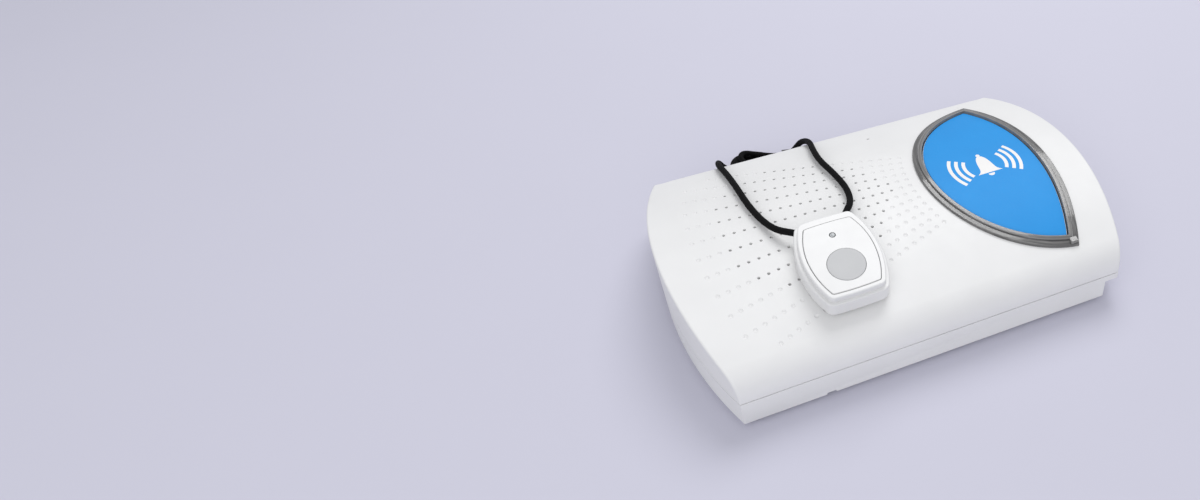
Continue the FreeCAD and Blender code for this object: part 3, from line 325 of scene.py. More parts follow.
def braidFinish():
    # threads follow the cord: U runs round it and V along it, both in millimetres, and the height is the
    # product of sin(k (u + v)) and sin(k (u - v))
    sizes = braidSizes
    finish = Finish("black_cord")
    u, v = finish.flow()
    threads = [finish.node("ShaderNodeMath", {"operation": "SINE"}, {0: (u + way * v) * sizes["thread"]})
               for way in (1, -1)]
    weave = threads[0] * threads[1]
    fluff = finish.noise(sizes["fluff"], 4)
    # the gaps between the threads are painted darker than the threads, as shade
    return finish.shade({
        "Base Color": finish.blend(finish.ramp(weave + fluff, 0, 1, *sizes["heights"]), *sizes["colours"]),
        "Roughness": finish.ramp(fluff, *sizes["rough"]),
        "Normal": finish.bump(weave + sizes["fluffShare"] * fluff, sizes["depth"]),
        "Specular IOR Level": sizes["gloss"],
    })


def makeFinishes():
    made = {name: mouldedFinish(name, **sizes) for name, sizes in plasticSizes.items()}
    made.update({name: printFinish(name) for name in ("blue_key", "white_print")})
    made.update(smoky_bezel=smokyFinish(), steel=steelFinish(), board_green=boardFinish(),
                cloth_dark=clothFinish(), black_cord=braidFinish())
    return made


finishes = makeFinishes()
print("finishes made:", len(finishes))


def dressNodes():
    # every CAD node takes the finish of its own slot in the record
    slots = {part["node"]: part["material_slot"] for part in frame["record"]["subparts"]}
    for name, node in frame["nodes"].items():
        node.data.materials.clear()
        node.data.materials.append(finishes[slots[name]])


class Skin:
    # surface of patches, whose triangles' corners carry their own normals and flat coordinates
    def __init__(self):
        self.corners = []
        self.normals = []
        self.flats = []

    def add(self, points, normals, triangles, flat=None):
        # a patch is turned round if its winding disagrees with its normals
        flat = np.zeros((len(points), 2)) if flat is None else flat
        corners, facing, spread = points[triangles], normals[triangles], flat[triangles]
        across = np.cross(corners[:, 1] - corners[:, 0], corners[:, 2] - corners[:, 0])
        if (across * facing.sum(1)).sum() < 0:
            corners, facing, spread = corners[:, ::-1], facing[:, ::-1], spread[:, ::-1]
        self.corners.append(corners.reshape(-1, 3))
        self.normals.append(facing.reshape(-1, 3))
        self.flats.append(spread.reshape(-1, 2))

    def grid(self, points, normals, flat=None):
        # points and normals are rows x columns x 3
        rows, columns = points.shape[:2]
        spot = np.arange(rows * columns).reshape(rows, columns)
        a, b, c, d = spot[:-1, :-1], spot[1:, :-1], spot[1:, 1:], spot[:-1, 1:]
        triangles = np.concatenate([np.stack(t, -1).reshape(-1, 3) for t in ((a, b, c), (a, c, d))])
        normals = np.broadcast_to(normals, points.shape)
        flat = None if flat is None else flat.reshape(-1, 2)
        self.add(points.reshape(-1, 3), normals.reshape(-1, 3), triangles, flat)

    def strip(self, first, second, normals):
        # band between two lines of points
        self.grid(np.stack([first, second], 1), normals)

    def fan(self, ring, middle, normal, flat=None):
        # flat lid from a closed ring to its middle
        self.grid(np.stack([np.broadcast_to(middle, ring.shape), ring]), normal, flat)

    def mesh(self, name):
        # corners in one place become one point, and triangles that have lost a side are left out
        corners, normals, flats = (np.concatenate(x) for x in (self.corners, self.normals, self.flats))
        _, first, spot = np.unique(np.round(corners, 4), axis=0, return_index=True, return_inverse=True)
        faces = spot.reshape(-1, 3)
        whole = (faces != np.roll(faces, 1, 1)).all(1)
        normals = normals.reshape(-1, 3, 3)[whole].reshape(-1, 3)
        normals = normals / np.linalg.norm(normals, axis=1, keepdims=True)
        faces = faces[whole]
        mesh = bpy.data.meshes.new(name)
        mesh.vertices.add(len(first))
        mesh.vertices.foreach_set("co", (corners[first] * milli).ravel())
        mesh.loops.add(faces.size)
        mesh.loops.foreach_set("vertex_index", faces.ravel())
        mesh.polygons.add(len(faces))
        mesh.polygons.foreach_set("loop_start", np.arange(0, faces.size, 3))
        mesh.polygons.foreach_set("use_smooth", np.ones(len(faces), bool))
        mesh.update(calc_edges=True)
        mesh.normals_split_custom_set(normals.tolist())
        if flats.any():
            layer = mesh.uv_layers.new(name="flow")
            layer.data.foreach_set("uv", flats.reshape(-1, 3, 2)[whole].ravel())
        return mesh


def show(mesh, finish, body, *nodes, slot=None):
    # the finished piece rides on its body and stands for its CAD nodes
    piece = bpy.data.objects.new(mesh.name, mesh)
    bpy.context.scene.collection.objects.link(piece)
    mesh.materials.clear()
    mesh.materials.append(finishes[finish])
    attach(piece, body)
    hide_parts(*nodes)
    print("piece:", piece.name, len(mesh.polygons), "faces")
    return piece


downward = np.array([0, 0, -1.0])


def unit(angles):
    # the direction of each angle: its cosine and its sine
    return np.stack([np.cos(angles), np.sin(angles)], -1)


def circle(radius, steps):
    # evenly spaced points, without the first one again at the end
    return unit(np.arange(steps) * 2 * math.pi / steps) * radius


def closed(values):
    # the same run with its first value once more at its end
    return np.concatenate([values, values[:1]])


def raised(plan, height):
    # plan points with a height each, or one for all
    height = np.broadcast_to(height, plan.shape[:-1])
    return np.concatenate([plan, height[..., None]], -1)


quarter = np.linspace(0, math.pi / 2, 5)    # angles on the round of an edge


def plateEdge(inset, low, high, edge):
    # side of a plate from its underside up and round to its top: points (inset, height), whose arc is drawn
    # in by edge (1 - cos a) and lies edge (1 - sin a) below the top, and the directions (-cos a, sin a)
    arc = np.stack([inset + edge * (1 - np.cos(quarter)), high - edge * (1 - np.sin(quarter))], 1)
    facing = unit(quarter) * (-1, 1)
    return np.concatenate([[[inset, low]], arc]), np.concatenate([facing[:1], facing])


def section(corners, steps=4):
    # closed outline of straight runs whose corners (a, h, radius) are rounded, solid on its left:
    # the corner's arc is its centre plus the radius times the outward normal, turned step by step
    spots = np.array([corner[:2] for corner in corners], float)
    runs = np.roll(spots, -1, 0) - spots
    runs /= np.linalg.norm(runs, axis=1, keepdims=True)
    outward = np.stack([runs[:, 1], -runs[:, 0]], 1)
    points, normals = [], []
    for n, (_, _, radius) in enumerate(corners):
        before, after = outward[n - 1], outward[n]
        cosine = float(np.clip(before @ after, -1, 1))
        bend = 1 if before[0] * after[1] - before[1] * after[0] > 0 else -1
        angles = math.atan2(before[1], before[0]) + bend * math.acos(cosine) * np.linspace(0, 1, steps + 1)
        centre = spots[n] - bend * radius * (before + after) / (1 + cosine)
        points.append(centre + bend * radius * unit(angles))
        normals.append(unit(angles))
    return closed(np.concatenate(points)), closed(np.concatenate(normals))


def gather(outlines):
    # the points of several closed outlines in one array, and the run of indices of each
    stops = np.cumsum([len(outline) for outline in outlines])
    loops = [np.arange(stop - len(outline), stop) for outline, stop in zip(outlines, stops)]
    return np.concatenate(outlines), loops


def fill(points, loops, keep=None):
    # triangles between flat points; loops are runs of indices, those after the first are left open
    owner = np.full(len(points), -1)
    for number, loop in enumerate(loops):
        owner[loop] = number
    edges = np.concatenate([np.stack([loop, np.roll(loop, -1)], 1) for loop in loops])
    made = delaunay_2d_cdt([Vector(p) for p in points], edges.tolist(), [], 0, 1e-5, True)
    source = np.array([ids[0] for ids in made[3]])
    triangles = source[np.array(made[2])]
    owned = owner[triangles]
    inHole = (owned[:, 0] == owned[:, 1]) & (owned[:, 1] == owned[:, 2]) & (owned[:, 0] > 0)
    triangles = triangles[~inHole]
    if keep is not None:
        triangles = triangles[keep(points[triangles].mean(1))]
    return triangles


# neck cord: one line from the pendant's left shoulder through the bundle to its right one

cordSizes = {
    # thickness, sides and spacing of the rings, and the braid's strands, relief and pitch
    "thick": 2.8, "sides": 24, "ringStep": 0.55, "strands": 6, "relief": 0.14, "braidPitch": 9.0,
    "resolution": 12,
}
leftLeg = [(-38.5, -16.0, 42.3), (-43.4, -12.4, 42.4), (-47.6, -6.6, 40.8), (-50.6, 3.2, 39.6),
           (-52.6, 15.0, 39.3), (-53.1, 29.0, 37.6), (-53.8, 43.0, 34.9), (-54.6, 57.0, 30.4),
           (-53.0, 66.6, 25.0), (-50.0, 70.0, 18.0), (-44.2, 73.2, 11.2), (-36.4, 76.4, 7.6)]
rightLeg = [(-22.6, -16.2, 42.2), (-18.4, -11.0, 42.9), (-13.4, -4.2, 41.4), (-11.2, 7.4, 39.8),
            (-12.6, 20.6, 38.9), (-14.2, 32.6, 37.2), (-13.2, 44.8, 34.6), (-10.8, 57.4, 30.2),
            (-12.4, 66.4, 24.8), (-15.8, 69.0, 18.4), (-20.4, 72.0, 13.2), (-25.4, 75.2, 10.6),
            (-30.6, 77.6, 7.4)]

hankSizes = {
    "middle": (-16.0, 79.9), "angle": -14.2, "half": 19.5,
    "near": 5.6, "far": 8.4,                     # radii of the cord's line round the ends
    "low": 1.45, "centre": 4.25, "high": 7.05,   # heights of the cord's line
    "waistNear": 1.4, "waistFar": 4.2,           # sideways at the tie
    "waistLift": 0.5,                            # room for the tie under the cord
    "runEnd": 15.5, "squeeze": 0.93,
    "runShares": (-1, -0.58, -0.2, 0.2, 0.58, 1),          # where a run's points lie, from end to end
    "endPoints": 7,                                        # points of half a turn
    "change": 11.0, "changeStart": 5.0, "spacing": 3.0,    # where a front run moves over, from turn to turn
    # each turn's ends: how much further out it goes at the right and at the left, and its lift at the left
    "turnEnds": [(-1.5, 0.0, 1.0), (0.0, 0.5, 0.0), (-0.4, -0.4, 0.0), (-0.9, 0.5, 3.6), (-2.5, -1.8, 3.2)],
}


def hankPoint(along, across, height):
    # from the bundle's own frame to the part's
    cos, sin = unit(math.radians(hankSizes["angle"]))
    x0, y0 = hankSizes["middle"]
    return x0 + along * cos - across * sin, y0 + along * sin + across * cos, height


def ease(share):
    # 3 t^2 - 2 t^3, with t held between 0 and 1
    share = min(1.0, max(0.0, share))
    return share * share * (3 - 2 * share)


def hankRun(side, first, last, begin):
    # one pass beside the tie; side 1 is the rear and -1 the front, where the cord changes its place
    sizes = hankSizes
    points = []
    for share in sizes["runShares"]:
        x = -side * share * sizes["runEnd"]
        moved = ease((x - begin) / sizes["change"])
        radius, height = (a + (b - a) * moved for a, b in zip(first, last))
        spread = (radius - sizes["near"]) / (sizes["far"] - sizes["near"])
        waist = sizes["waistNear"] + spread * (sizes["waistFar"] - sizes["waistNear"])
        wide = waist + (radius * sizes["squeeze"] - waist) * ease(abs(share)) ** 3
        points.append(hankPoint(x, side * wide, height + sizes["waistLift"] * (1 - abs(share))))
    return points


def hankEnd(side, place, further, lift=0.0):
    # half a turn round one end: the radius of its points is divided by the cosine of half a step, so that
    # the spline keeps the radius; the lift goes with the cosine and is greatest at the tip
    radius, height = place
    count = hankSizes["endPoints"]
    step = 180 / (count - 1)
    middle = side * (hankSizes["half"] + further)
    swell = radius / math.cos(math.radians(step / 2))
    directions = unit(np.radians(side * (step * np.arange(count) - 90)))
    return [hankPoint(middle + side * swell * cos, swell * sin, height + lift * cos)
            for cos, sin in directions]


def hankTurns():
    # the cord comes in on top of the front run; each turn takes the next place in the bundle's section,
    # and the last leaves from the top
    sizes = hankSizes
    near, far, low, centre, high = (sizes[n] for n in ("near", "far", "low", "centre", "high"))
    places = [(far, high), (far, centre), (far, low), (near, low), (near, centre), (near, high)]
    points = []
    for turn in range(1, len(places)):
        first, place = places[turn - 1], places[turn]
        right, left, lift = sizes["turnEnds"][turn - 1]
        points += hankRun(-1, first, place, sizes["changeStart"] - sizes["spacing"] * turn)
        points += hankEnd(1, place, right) + hankRun(1, place, place, 0) + hankEnd(-1, place, left, lift)
    return points


def cordLine():
    # the route's NURBS spline, read back as close points in millimetres
    route = leftLeg + hankTurns() + rightLeg[::-1]
    curve = bpy.data.curves.new("cordRoute", "CURVE")
    curve.dimensions = "3D"
    curve.resolution_u = cordSizes["resolution"]
    spline = curve.splines.new("NURBS")
    spline.points.add(len(route) - 1)
    for point, place in zip(spline.points, route):
        point.co = (*[c * milli for c in place], 1)
    spline.order_u = 3
    spline.use_endpoint_u = True
    guide = bpy.data.objects.new("cordRoute", curve)
    bpy.context.scene.collection.objects.link(guide)
    bpy.context.view_layer.update()
    line = bpy.data.meshes.new_from_object(guide.evaluated_get(bpy.context.evaluated_depsgraph_get()))
    points = np.array([v.co for v in line.vertices], float) / milli
    bpy.data.objects.remove(guide)
    bpy.data.meshes.remove(line)
    return points


def evenly(points, step):
    # the same line with points one step apart
    along = np.concatenate([[0], np.cumsum(np.linalg.norm(np.diff(points, axis=0), axis=1))])
    wanted = np.linspace(0, along[-1], int(along[-1] / step) + 1)
    return np.stack([np.interp(wanted, along, points[:, n]) for n in range(3)], 1), wanted


def carriedFrames(points):
    # tangent at each point, and a side direction carried along with the least twist
    tangents = np.gradient(points, axis=0)
    tangents /= np.linalg.norm(tangents, axis=1, keepdims=True)
    sides = np.empty_like(tangents)
    side = np.cross(tangents[0], (0, 0, 1.0))
    for n, tangent in enumerate(tangents):
        side = side - tangent * (side @ tangent)
        side = side / np.linalg.norm(side)
        sides[n] = side
    return tangents, sides, np.cross(tangents, sides)


def makeCord():
    # tube whose radius dips between two families of crossing strands: the height at a point is the
    # larger of |cos(n a / 2 + k s)| and |cos(n a / 2 - k s)|, a being the angle and s the length
    sizes = cordSizes
    points, along = evenly(cordLine(), sizes["ringStep"])
    tangents, sides, ups = carriedFrames(points)
    angles = np.linspace(0, 2 * math.pi, sizes["sides"] + 1)
    phase = sizes["strands"] / 2 * angles[None, :]
    slide = 2 * math.pi / sizes["braidPitch"] * along[:, None]
    strands = np.maximum(np.abs(np.cos(phase + slide)), np.abs(np.cos(phase - slide)))
    radius = sizes["thick"] / 2 - sizes["relief"] * (1 - strands)
    cos, sin = unit(angles).T[..., None]
    outward = sides[:, None] * cos + ups[:, None] * sin
    rings = points[:, None] + outward * radius[..., None]
    skin = Skin()
    normals = np.cross(np.gradient(rings, axis=0), np.gradient(rings, axis=1))
    normals[:, 0] = normals[:, -1] = normals[:, 0] + normals[:, -1]
    normals *= np.sign((normals * outward).sum(-1))[..., None]
    around = angles * sizes["thick"] / 2
    flat = np.stack(np.broadcast_arrays(around[None, :], along[:, None]), -1)
    skin.grid(rings, normals, flat)
    for end, way in ((0, -1), (-1, 1)):
        skin.fan(rings[end], points[end], way * tangents[end])
    cord = show(skin.mesh("neck_cord"), "black_cord", "pendant", "cord_left", "cord_right", "cord_hank")
    tie = makeTie()


tieSizes = {
    "wide": 6.0, "thick": 0.5, "edge": 0.15,
    # the strap's inner line seen along the bundle: front, floor, rear, then the lower rear shoulder
    "line": [(-5.7, 0.55, 1.3), (5.7, 0.55, 1.3), (5.7, 6.2, 1.2), (3.1, 9.0, 1.2), (-5.7, 9.0, 1.3)],
}


def makeTie():
    # strap section carried round the line that holds the bundle's waist
    sizes = tieSizes
    loop, outward = section(sizes["line"], 6)
    wide, thick, edge = sizes["wide"] / 2, sizes["thick"], sizes["edge"]
    strap, strapOut = section([(-wide, 0, edge), (wide, 0, edge), (wide, thick, edge),
                               (-wide, thick, edge)], 3)
    along = raised(unit(math.radians(hankSizes["angle"])), 0)
    acrossAndUp = np.array([along[[1, 0, 2]] * (-1, 1, 0), -downward])
    place = loop @ acrossAndUp + (*hankSizes["middle"], 0)
    away = outward @ acrossAndUp
    points = place[:, None] + strap[None, :, :1] * along + strap[None, :, 1:] * away[:, None]
    normals = strapOut[None, :, :1] * along + strapOut[None, :, 1:] * away[:, None]
    skin = Skin()
    skin.grid(points, normals)
    return show(skin.mesh("hank_tie_band"), "black_plastic", "pendant", "hank_tie", slot="black_cord")


caseSizes = {
    # width of the front edge, and radii of the bulged ends, the crown and its two shoulders
    "front": 165.0, "endRadius": 175.0, "crownRadius": 171.0, "frontRoll": 12.0, "rearRoll": 9.0,
    "wall": 2.2, "edge": 0.9, "edgeSteps": 5,
    "rowStep": 3.4, "columnStep": 4.0, "rollStep": 1.05,
    # how far out loose points go, and what they keep from the ends, the holes' middles and the button
    "columnReach": 92, "endGap": 3.4, "holeGap": 1.5, "lensGap": 0.4,
}
grilleSizes = {
    "focus": (84.1, -2.6), "rowStep": 3.55, "pitch": 4.29, "first": 163.47, "middleRow": 5.5,
    # first and last column of the through holes, row by row; the last two rows have none
    "through": [(8, 14), (6, 17), (4, 18), (3, 19), (3, 20), (3, 20), (3, 19), (3, 18), (4, 17), (6, 16)],
    # the first and last row start at a later column; gap to the button, and reach to front and rear
    "columns": 23, "outerFrom": 2, "lensGap": 2.4, "reach": 55.5,
    "hole": 0.62, "bevel": 0.12, "bevelLean": 0.4, "dimple": 0.95, "dimpleDepth": 0.55,
    "dimpleRings": (1, 0.75, 0.45, 0),           # shares of its radius
    "microphone": (14.5, 46.2, 0.6), "sides": 16,
}
lensSizes = {
    # the button's pointed oval: x of the middle of each arc and its radius, and y of both middles
    "leftCentre": 73.4, "leftRadius": 53.1, "rightCentre": -41.1, "rightRadius": 120.0, "line": -2.6,
    "middle": 53.4,                              # x of a point inside the oval
    "opening": 1.65, "steps": 110,               # inset and steps of the opening in the cover
    "sweepSteps": 96, "rightStretch": 1.3,       # steps of a sweep, stretch of the right arc's streaks
}

coverLow, coverHigh = (np.array(corner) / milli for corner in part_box("top_cover"))
halfDepth, rimHeight, crownTop = coverHigh[1], coverLow[2], coverHigh[2]
crown, frontRoll, rearRoll = (caseSizes[n] for n in ("crownRadius", "frontRoll", "rearRoll"))
crownLow = crownTop - crown
endMiddle = math.sqrt(caseSizes["endRadius"] ** 2 - halfDepth ** 2) - caseSizes["front"] / 2


def crownHeight(y, rise):
    # height of the crown's arc at y, or of one that lies rise above it
    return crownLow + np.sqrt((crown + rise) ** 2 - y ** 2)


def crownNormal(y):
    # the crown leans at y by y over its radius
    lean = y / crown
    return np.stack([np.zeros_like(lean), lean, np.sqrt(1 - lean ** 2)], -1)


def shoulder(roll):
    # angle from upright where the crown's arc meets a shoulder, and the height of the shoulder's centre
    inner = halfDepth - roll
    height = crownLow + math.sqrt((crown - roll) ** 2 - inner ** 2)
    return math.atan2(inner, height - crownLow), height


frontAngle, frontHeight = shoulder(frontRoll)
rearAngle, rearHeight = shoulder(rearRoll)
frontTurn, rearTurn = math.pi / 2 - frontAngle, math.pi / 2 - rearAngle
crownStart, crownStop = -crown * frontAngle, crown * rearAngle
wallStart = crownStart - frontRoll * frontTurn
wallStop = crownStop + rearRoll * rearTurn
sheetStart, sheetStop = wallStart - (frontHeight - rimHeight), wallStop + (rearHeight - rimHeight)


def sheetPoint(x, s, rise=0.0):
    # s runs over the cover from front to rear: upright wall, shoulder arc, crown arc, shoulder, wall;
    # each arc adds its radius times the change of (sine, cosine) of the slope, and rise is off the skin
    onCrown = np.clip(s / crown, -frontAngle, rearAngle)
    rear = np.clip((s - crownStop) / rearRoll, 0, rearTurn)
    front = np.clip((crownStart - s) / frontRoll, 0, frontTurn)
    down = np.clip(s - wallStop, 0, None) + np.clip(wallStart - s, 0, None)
    slope = onCrown + rear - front
    z, y = np.moveaxis(crown * unit(onCrown) + rearRoll * (unit(onCrown + rear) - unit(onCrown))
                       + frontRoll * (unit(onCrown - front) - unit(onCrown)), -1, 0)
    z = crownLow + z - down
    normal = np.stack([np.zeros_like(y), np.sin(slope), np.cos(slope)], -1)
    return np.stack([x + 0 * y, y, z], -1) + normal * np.asarray(rise)[..., None], normal


def endEdge(s, side, inset):
    # corner line between the crown and a bulged end, and the centre of a ball of radius inset that
    # touches both: the corner less inset times (n1 + n2) / (1 + n1.n2)
    spot, up = sheetPoint(np.zeros_like(s), s)
    y = spot[:, 1]
    reach = np.sqrt(caseSizes["endRadius"] ** 2 - y ** 2)
    corner = np.stack([side * (reach - endMiddle), y, spot[:, 2]], -1)
    out = np.stack([side * reach, y, np.zeros_like(y)], -1) / caseSizes["endRadius"]
    meet = (out * up).sum(-1, keepdims=True)
    return corner - inset * (out + up) / (1 + meet), out, up


def sheetRows():
    # values of s from front to rear, closer together on the shoulders and walls than on the crown
    roll, row = caseSizes["rollStep"], caseSizes["rowStep"]
    cuts = [(sheetStart, wallStart, roll), (wallStart, crownStart, roll), (crownStart, crownStop, row),
            (crownStop, wallStop, roll), (wallStop, sheetStop, roll)]
    rows = [np.linspace(a, b, max(2, math.ceil((b - a) / step)) + 1)[:-1] for a, b, step in cuts]
    return np.concatenate(rows + [[sheetStop]])


def lensPoint(side, u, inset):
    # u runs from the front tip (-1) to the rear tip (1) along one of the two arcs of the pointed oval,
    # whose radii shrink with the inset, and whose tips are where the two shrunk circles cross
    sizes = lensSizes
    leftRadius, rightRadius = sizes["leftRadius"] - inset, sizes["rightRadius"] - inset
    apart = sizes["leftCentre"] - sizes["rightCentre"]
    fromRight = (apart ** 2 + rightRadius ** 2 - leftRadius ** 2) / (2 * apart)
    tip = np.sqrt(rightRadius ** 2 - fromRight ** 2)
    if side == "left":
        angle = math.pi - u * (math.pi - np.arctan2(tip, fromRight - apart))
        centre, radius = sizes["leftCentre"], leftRadius
    else:
        angle = u * np.arctan2(tip, fromRight)
        centre, radius = sizes["rightCentre"], rightRadius
    out = unit(angle)
    return np.stack([centre + radius * out[..., 0], sizes["line"] + radius * out[..., 1]], -1), out


def lensLoop(inset):
    # the oval's outline, rearwards along the right arc and back along the left one
    u = np.linspace(-1, 1, lensSizes["steps"] + 1)
    right, left = (lensPoint(side, u, inset)[0] for side in ("right", "left"))
    return np.concatenate([right[:-1], left[::-1][:-1]])


def overSheet(y):
    # distance s of a point of the crown's arc
    return crown * np.arcsin(y / crown)


def grillePlaces():
    # rows fan out from a focus and columns are arcs about it; those near the middle go through
    sizes = grilleSizes
    rows = len(sizes["through"]) + 2
    row, column = np.meshgrid(np.arange(rows), np.arange(sizes["columns"]), indexing="ij")
    outer = (row == 0) | (row == rows - 1)
    angle = np.radians((row - sizes["middleRow"]) * sizes["rowStep"])
    places = sizes["focus"] - (sizes["first"] - column * sizes["pitch"])[..., None] * unit(angle)
    x, y = np.moveaxis(places, -1, 0)
    never = (sizes["columns"], sizes["columns"])
    limits = np.array([*sizes["through"], never, never])[row]
    through = (column >= limits[..., 0]) & (column <= limits[..., 1])
    fromLens = np.hypot(x - lensSizes["leftCentre"], y - lensSizes["line"]) - lensSizes["leftRadius"]
    blind = ~through & (column >= outer * sizes["outerFrom"]) & (fromLens > sizes["lensGap"])
    return places[through], places[blind & (np.abs(y) < sizes["reach"])]


def endLine(rows, side):
    # where the flat sheet meets the round of an end's edge, as (x, s)
    ball, _, up = endEdge(rows, side, caseSizes["edge"])
    spot, _ = sheetPoint(0 * rows, rows)
    along = np.stack([0 * rows, up[:, 2], -up[:, 1]], -1)
    touch = ball + caseSizes["edge"] * up
    line = np.stack([touch[:, 0], rows + ((touch - spot) * along).sum(1)], -1)
    line[[0, -1], 1] = sheetStart, sheetStop
    return line


def loosePoints(rows, right, middles):
    # a plain grid's points that keep clear of the ends, the button's opening and the middles of the holes
    sizes = caseSizes
    columns = np.arange(-sizes["columnReach"], sizes["columnReach"] + 1, sizes["columnStep"])
    x, s = (values.ravel() for values in np.meshgrid(columns, rows[1:-1]))
    y = crown * np.sin(s / crown)
    free = np.abs(x) < np.interp(s, right[:, 1], right[:, 0]) - sizes["endGap"]
    free &= np.min(np.hypot(x[:, None] - middles[:, 0], s[:, None] - middles[:, 1]), 1) > sizes["holeGap"]
    inLeft, inRight = (np.hypot(x - lensSizes[side + "Centre"], y - lensSizes["line"])
                       < lensSizes[side + "Radius"] + sizes["lensGap"] for side in ("left", "right"))
    free &= ~(inLeft & inRight)
    return np.stack([x[free], s[free]], -1)


def makeCover():
    # a flat sheet of (x, s) with all its holes is filled with triangles and then bent over the case
    grille = grilleSizes
    rows = sheetRows()
    right, left = endLine(rows, 1), endLine(rows, -1)
    share = np.linspace(0, 1, int(caseSizes["front"] / caseSizes["columnStep"]) + 1)[1:-1, None]
    front = left[0] + (right[0] - left[0]) * share
    rear = right[-1] + (left[-1] - right[-1]) * share
    lens = lensLoop(lensSizes["opening"])
    lens[:, 1] = overSheet(lens[:, 1])
    holes, dimples = grillePlaces()
    bores = [(*place, grille["hole"] + grille["bevel"]) for place in holes]
    bores += [(*grille["microphone"][:2], grille["microphone"][2] + grille["bevel"])]
    bowls = [(*place, grille["dimple"]) for place in dimples]
    rounds = [(x, overSheet(y), radius) for x, y, radius in bores + bowls]
    circles = [circle(radius, grille["sides"]) + (x, s) for x, s, radius in rounds]
    flat, loops = gather([np.concatenate([right, rear, left[::-1], front]), lens, *circles])
    flat = np.concatenate([flat, loosePoints(rows, right, np.array(rounds)[:, :2])])

    def inside(middle):
        return np.abs(middle[:, 0]) < np.interp(middle[:, 1], right[:, 1], right[:, 0]) + 1e-6

    skin = Skin()
    triangles = fill(flat, loops, inside)
    outer, normal = sheetPoint(flat[:, 0], flat[:, 1])
    inner, _ = sheetPoint(flat[:, 0], flat[:, 1], -caseSizes["wall"])
    count, leftStart = len(rows), len(rows) + len(rear)
    addEnd(skin, rows, 1, outer, inner, np.arange(count))
    addEnd(skin, rows, -1, outer, inner, np.arange(count)[::-1] + leftStart)
    # wall of the button's opening: its inner edge lies straight below
    inner[loops[1]] = outer[loops[1]]
    inner[loops[1], 2] = crownHeight(outer[loops[1], 1], -caseSizes["wall"])
    ring = closed(loops[1])
    facing = (np.array([lensSizes["middle"], lensSizes["line"], 0]) - outer[ring]) * [1, 1, 0]
    skin.strip(outer[ring], inner[ring], facing[:, None])
    skin.add(outer, normal, triangles)
    skin.add(inner, -normal, triangles)
    # lower edges of the rear wall and of the front wall
    frontIds = np.append(np.arange(leftStart + count - 1, len(loops[0])), 0)
    for ids in (np.arange(count - 1, leftStart + 1), frontIds):
        skin.strip(outer[ids], inner[ids], downward)
    for number, (x, s, radius) in enumerate(rounds):
        add = addHole if number < len(bores) else addDimple
        add(skin, outer, inner, normal, closed(loops[number + 2]), x, s, radius)
    show(skin.mesh("cover_shell"), "white_case", "base", "top_cover")


def addEnd(skin, rows, side, outer, inner, ids):
    # quarter round from the crown to the end, blended between the directions up and out, and the end's wall
    ball, out, up = endEdge(rows, side, caseSizes["edge"])
    turn = np.linspace(0, 1, caseSizes["edgeSteps"] + 1)[:, None]
    bent = up[:, None] * (1 - turn) + out[:, None] * turn
    bent /= np.linalg.norm(bent, axis=-1, keepdims=True)
    lip = ball[:, None] + caseSizes["edge"] * bent
    lip[:, 0] = outer[ids]
    corner, _, _ = endEdge(rows, side, caseSizes["wall"])
    lip[[0, -1], :, 2] = corner[[0, -1], 2] = rimHeight
    inner[ids] = corner
    foot, lower = (line * [1, 1, 0] + [0, 0, rimHeight] for line in (lip[:, -1], corner))
    skin.grid(lip, bent)
    skin.strip(lip[:, -1], foot, out[:, None])
    skin.strip(corner, lower, -out[:, None])
    skin.strip(foot, lower, downward)
    for row in (0, -1):
        skin.fan(lip[row], lower[row], downward)


def addHole(skin, outer, inner, normal, ids, x, s, radius):
    # small bevel, then a straight bore down to the inner skin
    bore = radius - grilleSizes["bevel"]
    ring = closed(circle(bore, grilleSizes["sides"]))
    facing = raised(-ring, 0) / bore
    upper, _ = sheetPoint(ring[:, 0] + x, ring[:, 1] + s, -grilleSizes["bevel"])
    lower = inner[ids] + (upper - outer[ids]) * [1, 1, 0]
    lean = normal[ids] * grilleSizes["bevelLean"] + facing
    skin.strip(outer[ids], upper, np.stack([normal[ids], lean], 1))
    skin.strip(upper, lower, facing[:, None])
    skin.strip(lower, inner[ids], -normal[ids][:, None])


def addDimple(skin, outer, inner, normal, ids, x, s, radius):
    # bowl whose depth falls with the square of the distance from its middle; the inner skin goes on below
    ring = closed(circle(radius, grilleSizes["sides"]))
    share = np.array(grilleSizes["dimpleRings"])[:, None]
    spots, _ = sheetPoint(ring[:, 0] * share + x, ring[:, 1] * share + s,
                          -grilleSizes["dimpleDepth"] * (1 - share ** 2))
    spots[0] = outer[ids]
    steep = 2 * grilleSizes["dimpleDepth"] / radius ** 2 * share[..., None] * raised(ring, 0)
    skin.grid(spots, normal[ids] - steep)
    skin.fan(inner[ids], inner[ids].mean(0), -normal[ids[0]])


ringSizes = {
    "outer": 2.3, "wide": 4.3,                   # step and inner edge, in from the outside
    "step": 1.1, "rim": 1.9,                     # heights above the crown
    "foot": -3.0, "spigot": 2.0, "under": -0.05, "round": 0.35, "rimRound": 0.45, "small": 0.2,
    # clear upright at the front tip: middle, length, width, height, and the band whose tone, with its
    # painted light, it takes
    "postPlace": (65.1, -53.3), "post": (3.4, 2.4, 2.2), "postBand": 3.9,
}
filmSizes = {"inset": 4.9, "low": 0.32, "top": 0.7, "round": 0.18, "columns": 40}


def lensSweep(skin, outline, outward):
    # carries a section (inset, rise) round both arcs; sections meet in a mitre at the tips
    sizes = lensSizes
    for side, way, stretch in (("left", 1, 1), ("right", -1, sizes["rightStretch"])):
        u = way * np.linspace(-1, 1, sizes["sweepSteps"] + 1)[:, None]
        inset = np.broadcast_to(outline[:, 0], (len(u), len(outline)))
        place, out = lensPoint(side, u + 0 * inset, inset)
        normals = -outward[:, :1] * raised(out, 0) + outward[:, 1:] * crownNormal(place[..., 1])
        run = np.abs(u) * sizes["leftRadius"] * stretch + 0 * inset
        points = raised(place, crownHeight(place[..., 1], outline[:, 1]))
        skin.grid(points, normals, np.stack([inset, run], -1))


